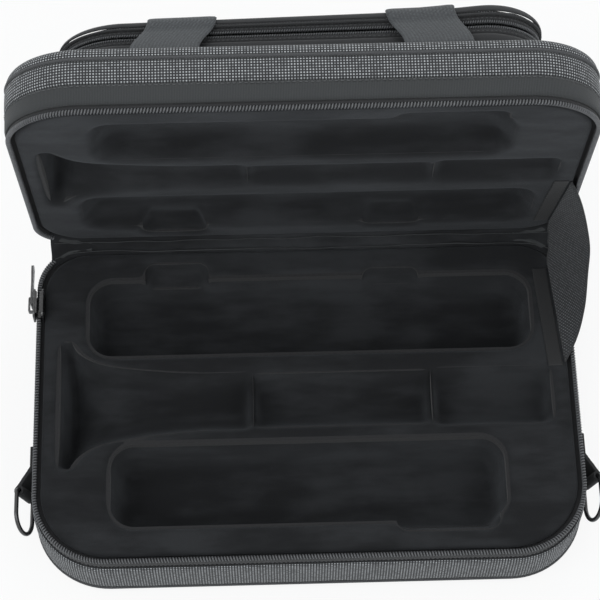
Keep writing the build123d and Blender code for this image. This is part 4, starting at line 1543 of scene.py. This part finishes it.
    def join(self, pieces: list[bpy.types.Object], name: str) -> bpy.types.Object:
        """Join pieces into one object."""
        with bpy.context.temp_override(active_object=pieces[0], selected_editable_objects=pieces,
                                       selected_objects=pieces):
            bpy.ops.object.join()
        pieces[0].name = name
        return pieces[0]

    def build_grip(self) -> None:
        """Padded sleeve round the cross piece, puffed between its seams."""
        grip = self.maker.soften("handle_grip", 1.6, 8, "handle_grip_sleeve")
        low, high = (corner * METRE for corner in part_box("handle_grip"))
        self.maker.swell(grip, 4.0, lambda place: min(place[0] - low.x, high.x - place[0]) < 3.5, lambda place: 1.6)
        finer = grip.modifiers.new("finer", "SUBSURF")
        finer.levels = 1
        apply_modifiers(grip)
        self.maker.seat(grip, Finish.GRIP, "handle", ["handle_grip"])
        self.pocket.sag(grip)

    def build_anchors(self, root_y: float) -> None:
        """Sewn patches that hold the legs to the lid."""
        anchors = self.maker.soften("handle_anchors", 0.7, 4, "handle_anchor_patches")
        self.maker.seat(anchors, Finish.SEAM, "lid", ["handle_anchors"])


@dataclass
class Stay:
    """Patterned cloth stay at the right, its bound edge and its seam tapes."""

    maker: Maker
    inset: float = 7.0
    splay: float = 5.3
    near: float = 22.0
    far: float = 88.0
    bulge: float = 15.0
    scallop: float = 6.0
    plush_drop: float = 2.5
    sheet: float = 1.0
    rows: int = 30
    columns: int = 28
    keep: float = 0.04

    def point(self, share: float, across: float) -> np.ndarray:
        """Place on the stay.

        Args:
            share: From 0 near the hinge to 1 at the far edge.
            across: From -1 at the lid to 1 at the tray.

        Returns:
            The place in millimetres.
        """
        case = self.maker.case
        half = radians(case.opening / 2)
        toward = pi - half
        along = np.array([0, cos(toward), sin(toward)])
        side = np.array([0, -sin(toward), cos(toward)])
        apex = np.array([0, case.hinge_y, case.tray_height]) - along * ((self.plush_drop - 0.3) / sin(half))
        near, far = self.near * cos(half), self.far * cos(half)
        reach = near + (far - self.scallop * (1 - across ** 2) - near) * share
        part = (reach - near) / (far - near)
        foot = case.outline.width / 2 - self.inset - self.splay * (1 - part)
        belly = self.bulge * max(part, 0.01) * (1 - abs(across) ** 2.6)
        folds = 0.9 * ripple((reach, across * 40.0, 0.0), 19.0, 6.0) * (1 - across ** 4)
        return apex + along * reach + side * (reach * tan(half) * across) + np.array([foot + belly + folds, 0, 0])

    def build(self) -> None:
        """Build the cloth and its bindings in two halves that meet half way, and the seam tapes."""
        for half, sign in ((Half.TRAY, 1), (Half.LID, -1)):
            name = half.value + "_stay"
            sheet, area = self.cloth(name + "_cloth", sign)
            self.fold(sheet, Finish.DOTTED, half, sign)
            # the stay's cloth gets the dotted nylon with painted shade and sheen
            self.maker.wardrobe.dress_as(sheet, self.maker.wardrobe.reverse, Finish.DOTTED)
            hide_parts("stay_gusset")
            outer = self.tube(name + "_binding", [self.point(1.0, sign * j / 20) for j in range(21)], 0.75, 0.6)
            inner = self.tube(name + "_inner_binding", [self.point(0.0, sign * j / 8) for j in range(9)], 0.9, 0.7)
            for binding in (outer, inner):
                self.fold(binding, Finish.PIPING, half, sign)
            node = half.value + "_gusset_tape"
            tape = self.maker.soften(node, 0.5, 3)
            self.maker.seat(tape, Finish.SEAM, half.value, [node])

    def cloth(self, name: str, sign: int) -> tuple[bpy.types.Object, float]:
        """One half of the cloth, from the middle to its seam.

        Args:
            name: Name of the piece.
            sign: 1 for the tray's half, -1 for the lid's.

        Returns:
            The piece and its area in square metres.
        """
        width = self.columns + 1
        size = np.array([[self.point(i / self.rows, sign * j / self.columns) for j in range(width)]
                         for i in range(self.rows + 1)])
        down = np.cumsum(np.linalg.norm(np.diff(size, axis=0, prepend=size[:1]), axis=2), axis=0)
        over = sign * np.cumsum(np.linalg.norm(np.diff(size, axis=1, prepend=size[:, :1]), axis=2), axis=1)
        faces, uvs = [], []
        for i in range(self.rows):
            for j in range(self.columns):
                corners = ((i, j), (i, j + 1), (i + 1, j + 1), (i + 1, j))
                faces.append([r * width + c for r, c in corners])
                uvs += [(over[r, c], down[r, c]) for r, c in corners]
        sheet = make_object(name, size.reshape(-1, 3), faces, np.array(uvs))
        area = sum(face.area for face in sheet.data.polygons)
        solid = sheet.modifiers.new("thickness", "SOLIDIFY")
        solid.thickness = 0.7 / METRE
        solid.offset = 0.0
        return apply_modifiers(sheet), area

    def fold(self, thing: bpy.types.Object, finish: Finish, half: Half, sign: int) -> None:
        """Dress a piece and let it ride on its half.

        Args:
            thing: The piece.
            finish: Its finish.
            half: Half that it is sewn to.
            sign: 1 for the tray's half, -1 for the lid's.
        """
        near, far = self.point(0.0, sign), self.point(1.0, sign)
        reach = sum(self.point(share, sign * across) for share, across in ((1.0, 0.0), (1.0, 0.5), (0.6, 0.0))) / 3 - near
        self.maker.seat(thing, finish, half.value)
        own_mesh(thing)

    def tube(self, name: str, path: list[np.ndarray], wide: float, thick: float) -> bpy.types.Object:
        """Small rounded binding along an edge."""
        count, sides = len(path), 8
        verts, faces, uvs = [], [], []
        travel = 0.0
        for index, place in enumerate(path):
            ahead = np.subtract(path[min(count - 1, index + 1)], path[max(0, index - 1)])
            ahead = ahead / np.linalg.norm(ahead)
            out = np.cross(ahead, (1.0, 0, 0))
            out /= np.linalg.norm(out)
            up = np.cross(ahead, out)
            for side in range(sides):
                angle = 2 * pi * side / sides
                verts.append(place + out * wide * cos(angle) + up * thick * sin(angle))
        for i in range(count - 1):
            step = float(np.linalg.norm(np.subtract(path[i + 1], path[i])))
            for j in range(sides):
                k = (j + 1) % sides
                faces.append((i * sides + j, i * sides + k, (i + 1) * sides + k, (i + 1) * sides + j))
                uvs += [(travel, j), (travel, j + 1), (travel + step, j + 1), (travel + step, j)]
            travel += step
        for row in (0, count - 1):
            faces.append([row * sides + j for j in range(sides)])
            uvs += [(0, j) for j in range(sides)]
        return make_object(name, np.array(verts), faces, np.array(uvs))


@dataclass
class Hinge:
    """Fabric hinge along the back edge: the outer strap, and the lining that webs into the corners."""

    maker: Maker
    tape_depths: tuple[float, float] = (10.5, 5.6)
    zip_end_y: float = 95.6
    lining_inset: float = 5.2
    lining_depths: tuple[float, float] = (5.6, 5.2)

    def build(self) -> None:
        """Build the outer strap and the inner lining as one cloth each."""
        case = self.maker.case
        low, high = (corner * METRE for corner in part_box("tray_hinge_strip"))
        outer = case.outline.depth / 2
        tray_low = case.tray_height - self.tape_depths[0]
        path = [(outer, tray_low + (case.tray_height - 1.2 - tray_low) * i / 5) for i in range(6)]
        path += [(case.hinge_y + 0.9 * cos(a), case.tray_height + 0.9 * sin(a) - 0.2) for a in
                 (0.35 * pi * i / 4 for i in range(5))]
        near, far = (case.place(np.array([[0, outer, depth]]), Half.LID)[0] for depth in (1.2, self.tape_depths[1]))
        path += [tuple(near[1:] + (far - near)[1:] * i / 4) for i in range(5)]
        strap = self.ribbon("hinge_strap", high.x - low.x, lambda x: path, 1.1, 0.12)
        self.finish(strap, Finish.BAND, ["tray_hinge_strip", "lid_hinge_strip", "hinge_fold"])
        corner, rise = case.outline.back_corner, self.zip_end_y - case.outline.depth / 2 + case.outline.back_corner
        reach = case.outline.width / 2 - corner + (corner ** 2 - rise ** 2) ** 0.5
        lining = self.ribbon("hinge_lining", 2 * reach, self.lining_at, 0.7, 1.1)
        self.finish(lining, Finish.PLUSH, [])
        # paler band cloth on the lining's folds is a painted highlight
        for name, station in (("front", 4), ("back", 11)):
            self.finish(self.crease_highlight_line(f"hinge_crease_highlight_{name}", reach, station), Finish.BAND, [])

    def lining_at(self, x: float) -> list[tuple[float, float]]:
        """Side view of the lining at a place along the hinge, as a soft curve between both rims."""
        case = self.maker.case
        back = min(case.outline.back_at(x), case.hinge_y)
        gap, turn = case.hinge_y - back, radians(case.opening / 2)
        start = np.array([back - self.lining_inset, case.tray_height - self.lining_depths[0]])
        end = case.place(np.array([[0, back - self.lining_inset, self.lining_depths[1]]]), Half.LID)[0][1:]
        middle = np.array([case.hinge_y - 1.3, case.tray_height + 0.9])
        middle += gap * cos(turn) * np.array([-cos(turn), sin(turn)])
        return [tuple((1 - s) ** 2 * start + 2 * s * (1 - s) * middle + s ** 2 * end) for s in np.linspace(0, 1, 17)]

    def crease_highlight_line(self, name: str, reach: float, station: int) -> bpy.types.Object:
        """Fine raised fold that runs along the lining, dressed in paler band cloth as a painted highlight of the fold.

        Args:
            name: Name of the piece.
            reach: Half its length.
            station: Point of the lining's side view that it follows.

        Returns:
            The piece.
        """
        def line(x: float) -> list[tuple[float, float]]:
            """Small arch that stands off the lining."""
            y, z = self.lining_at(x)[station]
            wander = 0.9 * ripple((x, station * 9.0, 0), 24.0, 5.0)
            swell = 0.28 + 0.3 * max(0.0, ripple((x, station * 5.0, 3), 31.0, 8.0))
            return [(y - 0.9 + wander + swell * cos(a), z + 0.9 + wander + swell * sin(a))
                    for a in (-0.25 * pi + pi * k / 5 for k in range(6))]

        return self.ribbon(name, 2 * reach - 4.0, line, 0.3, 0.0)

    def ribbon(self, name: str, length: float, line: Callable[[float], list[tuple[float, float]]], thick: float,
               crease: float) -> bpy.types.Object:
        """Cloth that runs along X with a side view in Y and Z.

        Args:
            name: Name of the piece.
            length: Length along X.
            line: Side view at a place along X.
            thick: Thickness.
            crease: Height of its small waves.

        Returns:
            The piece.
        """
        count = int(length / 2.5)
        verts, faces, uvs = [], [], []
        for i in range(count + 1):
            x = -length / 2 + length * i / count
            path = line(x)
            travel = np.concatenate([[0], np.cumsum([hypot(b[0] - a[0], b[1] - a[1]) for a, b in zip(path, path[1:])])])
            for (y, z), run in zip(path, travel):
                wave = crease * ripple((x, run, 0), 7.0, 2.0) * sin(pi * run / travel[-1])
                verts.append((x, y - wave, z + wave))
        columns = len(path)
        for i in range(count):
            for j in range(columns - 1):
                faces.append((i * columns + j, (i + 1) * columns + j, (i + 1) * columns + j + 1, i * columns + j + 1))
                u0, u1 = length * i / count, length * (i + 1) / count
                uvs += [(u0, travel[j]), (u1, travel[j]), (u1, travel[j + 1]), (u0, travel[j + 1])]
        ribbon = make_object(name, np.array(verts), faces, np.array(uvs))
        solid = ribbon.modifiers.new("thickness", "SOLIDIFY")
        solid.thickness = thick / METRE
        solid.offset = 0.0
        return apply_modifiers(ribbon)

    def finish(self, thing: bpy.types.Object, finish: Finish, replaced: Sequence[str]) -> None:
        """Dress a hinge cloth and hide the nodes it stands for."""
        self.maker.wardrobe.dress(thing, finish)
        if replaced:
            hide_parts(*replaced)
        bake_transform(thing)
        self.maker.made.append(thing)


@dataclass
class SmallParts:
    """Sewn tabs, and the metal pieces that keep their own form."""

    maker: Maker

    def build(self) -> None:
        """Build the soft tabs and dress the metal."""
        for node, finish, body in (("tray_zip_end_tabs", Finish.BAND, "tray"), ("lid_zip_end_tabs", Finish.BAND, "lid"),
                                   ("strap_ring_tab_left", Finish.SEAM, "tray"),
                                   ("strap_ring_tab_right", Finish.SEAM, "tray")):
            tab = self.maker.soften(node, 0.45, 3)
            self.maker.seat(tab, finish, body, [node])
        for node in ("tray_foam_core", "lid_foam_core"):
            self.maker.wardrobe.dress(self.maker.frame["nodes"][node], Finish.FOAM)
        for name, thing in self.maker.frame["nodes"].items():
            if "slider" in name or "pull" in name:
                self.maker.wardrobe.dress(thing, Finish.METAL)
            if name in ("strap_ring_left", "strap_ring_right"):
                self.maker.wardrobe.dress(thing, Finish.RING)
                self.smooth(thing)

    def smooth(self, thing: bpy.types.Object) -> None:
        """Shade a round wire smooth."""
        thing.data.polygons.foreach_set("use_smooth", [True] * len(thing.data.polygons))


@dataclass
class Studio:
    """Floor, soft lights, pale surround and the camera at the photograph's place."""

    focal_px: float = 2154.0
    frame_px: float = 600.0
    distance: float = 1339.0
    elevation: float = 64.0
    yaw: float = 1.84
    roll: float = 0.31
    centre: tuple[float, float] = (-4.338, 78.843)
    sensor_mm: float = 36.0
    daylight: Colour = (0.945, 0.98, 1.0)

    def build(self) -> None:
        """Build the studio."""
        self.place_camera()
        self.lay_floor()
        self.light()
        bpy.context.scene.view_settings.view_transform = "Standard"

    def place_camera(self) -> None:
        """Set the camera where the photograph was taken from."""
        tilt, yaw = radians(self.elevation), radians(self.yaw)
        right, up = Vector((1, 0, 0)), Vector((0, sin(tilt), cos(tilt)))
        ahead = Vector((0, cos(tilt), -sin(tilt)))
        eye = right * self.centre[0] + up * self.centre[1] - ahead * self.distance
        back = Matrix.Rotation(-yaw, 3, "Z")
        right, up, ahead, eye = (back @ v for v in (right, up, ahead, eye))
        turn = Matrix.Rotation(-radians(self.roll), 3, ahead)
        right, up = turn @ right, turn @ up
        camera = bpy.data.objects.new("camera", bpy.data.cameras.new("camera"))
        basis = Matrix((right, up, -ahead)).transposed().to_4x4()
        camera.matrix_world = Matrix.Translation(eye / METRE) @ basis
        camera.data.sensor_width = self.sensor_mm
        camera.data.sensor_fit = "HORIZONTAL"
        camera.data.lens = self.focal_px / self.frame_px * self.sensor_mm
        camera.data.clip_end = 20.0
        bpy.context.scene.collection.objects.link(camera)
        bpy.context.scene.camera = camera

    def lay_floor(self) -> None:
        """Lay a wide pale floor that shows white to the camera and keeps the shadow."""
        floor = make_object("floor", np.array([[-4000, -4000, 0], [4000, -4000, 0], [4000, 4000, 0],
                                               [-4000, 4000, 0]]), [(0, 1, 2, 3)])
        shader = Shader("floor")
        shader.finish((0.86, 0.86, 0.86), 0.9)
        seen = shader.math("MULTIPLY", shader.node("LightPath").outputs["Is Camera Ray"], 0.88)
        white = shader.node("Emission", {"Color": (1.0, 1.0, 1.0), "Strength": 1.0})
        both = shader.node("MixShader", {0: seen, 1: shader.surface.outputs[0], 2: white.outputs[0]})
        shader.feed(shader.output.inputs[0], both.outputs[0])
        floor.data.materials.append(shader.material)

    def light(self) -> None:
        """Hang soft lamps and set the pale surround."""
        world = bpy.data.worlds.new("surround")
        world.use_nodes = True
        bpy.context.scene.world = world
        tree = world.node_tree
        tree.nodes.clear()
        path = tree.nodes.new("ShaderNodeLightPath")
        sky = tree.nodes.new("ShaderNodeBackground")
        sky.inputs["Color"].default_value = (*self.daylight, 1)
        sky.inputs["Strength"].default_value = 0.62
        seen = tree.nodes.new("ShaderNodeBackground")
        seen.inputs["Color"].default_value = (1, 1, 1, 1)
        seen.inputs["Strength"].default_value = 1.0
        either = tree.nodes.new("ShaderNodeMath")
        either.operation = "MAXIMUM"
        mix = tree.nodes.new("ShaderNodeMixShader")
        output = tree.nodes.new("ShaderNodeOutputWorld")
        tree.links.new(path.outputs["Is Camera Ray"], either.inputs[0])
        tree.links.new(path.outputs["Is Glossy Ray"], either.inputs[1])
        tree.links.new(either.outputs[0], mix.inputs[0])
        tree.links.new(sky.outputs[0], mix.inputs[1])
        tree.links.new(seen.outputs[0], mix.inputs[2])
        tree.links.new(mix.outputs[0], output.inputs[0])
        lamps = (("key", (-0.7, -0.5, 1.5), 1.1, 9.0), ("fill", (0.9, -0.9, 1.1), 1.3, 5.0),
                 ("back", (0.2, 1.3, 1.2), 1.0, 6.0))
        for name, place, size, power in lamps:
            lamp = bpy.data.lights.new(name, "AREA")
            lamp.size = size
            lamp.energy = power
            lamp.color = self.daylight
            thing = bpy.data.objects.new(name, lamp)
            thing.location = place
            aim = Vector((0, 0.05, 0.08)) - Vector(place)
            thing.rotation_euler = aim.to_track_quat("-Z", "Y").to_euler()
            bpy.context.scene.collection.objects.link(thing)


def main() -> None:
    """Dress the case piece by piece and set up the studio."""
    logging.basicConfig(level=logging.INFO, format="%(name)s: %(message)s")
    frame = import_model()
    case = CaseFrame.read(frame)
    maker = Maker(frame, case, Wardrobe())
    Studio().build()
    Cover(maker, Half.TRAY, case.tray_height, 10.5, 0.0, "tray_bottom_panel", Finish.NYLON).build()
    Cover(maker, Half.LID, case.lid_height, 5.6, 11.6, "lid_top_panel", Finish.DOTTED).build()
    MainZip(maker, Half.TRAY, 10.5).build()
    MainZip(maker, Half.LID, 5.6).build()
    PlushLiner(maker, Half.TRAY).build()
    PlushLiner(maker, Half.LID).build()
    pocket = Pocket(maker, case.lid_height)
    pocket.build()
    Handle(maker, pocket).build()
    Stay(maker).build()
    Hinge(maker).build()
    SmallParts(maker).build()
    LOG.info("%d pieces made", len(maker.made))


if __name__ == "__main__":
    main()
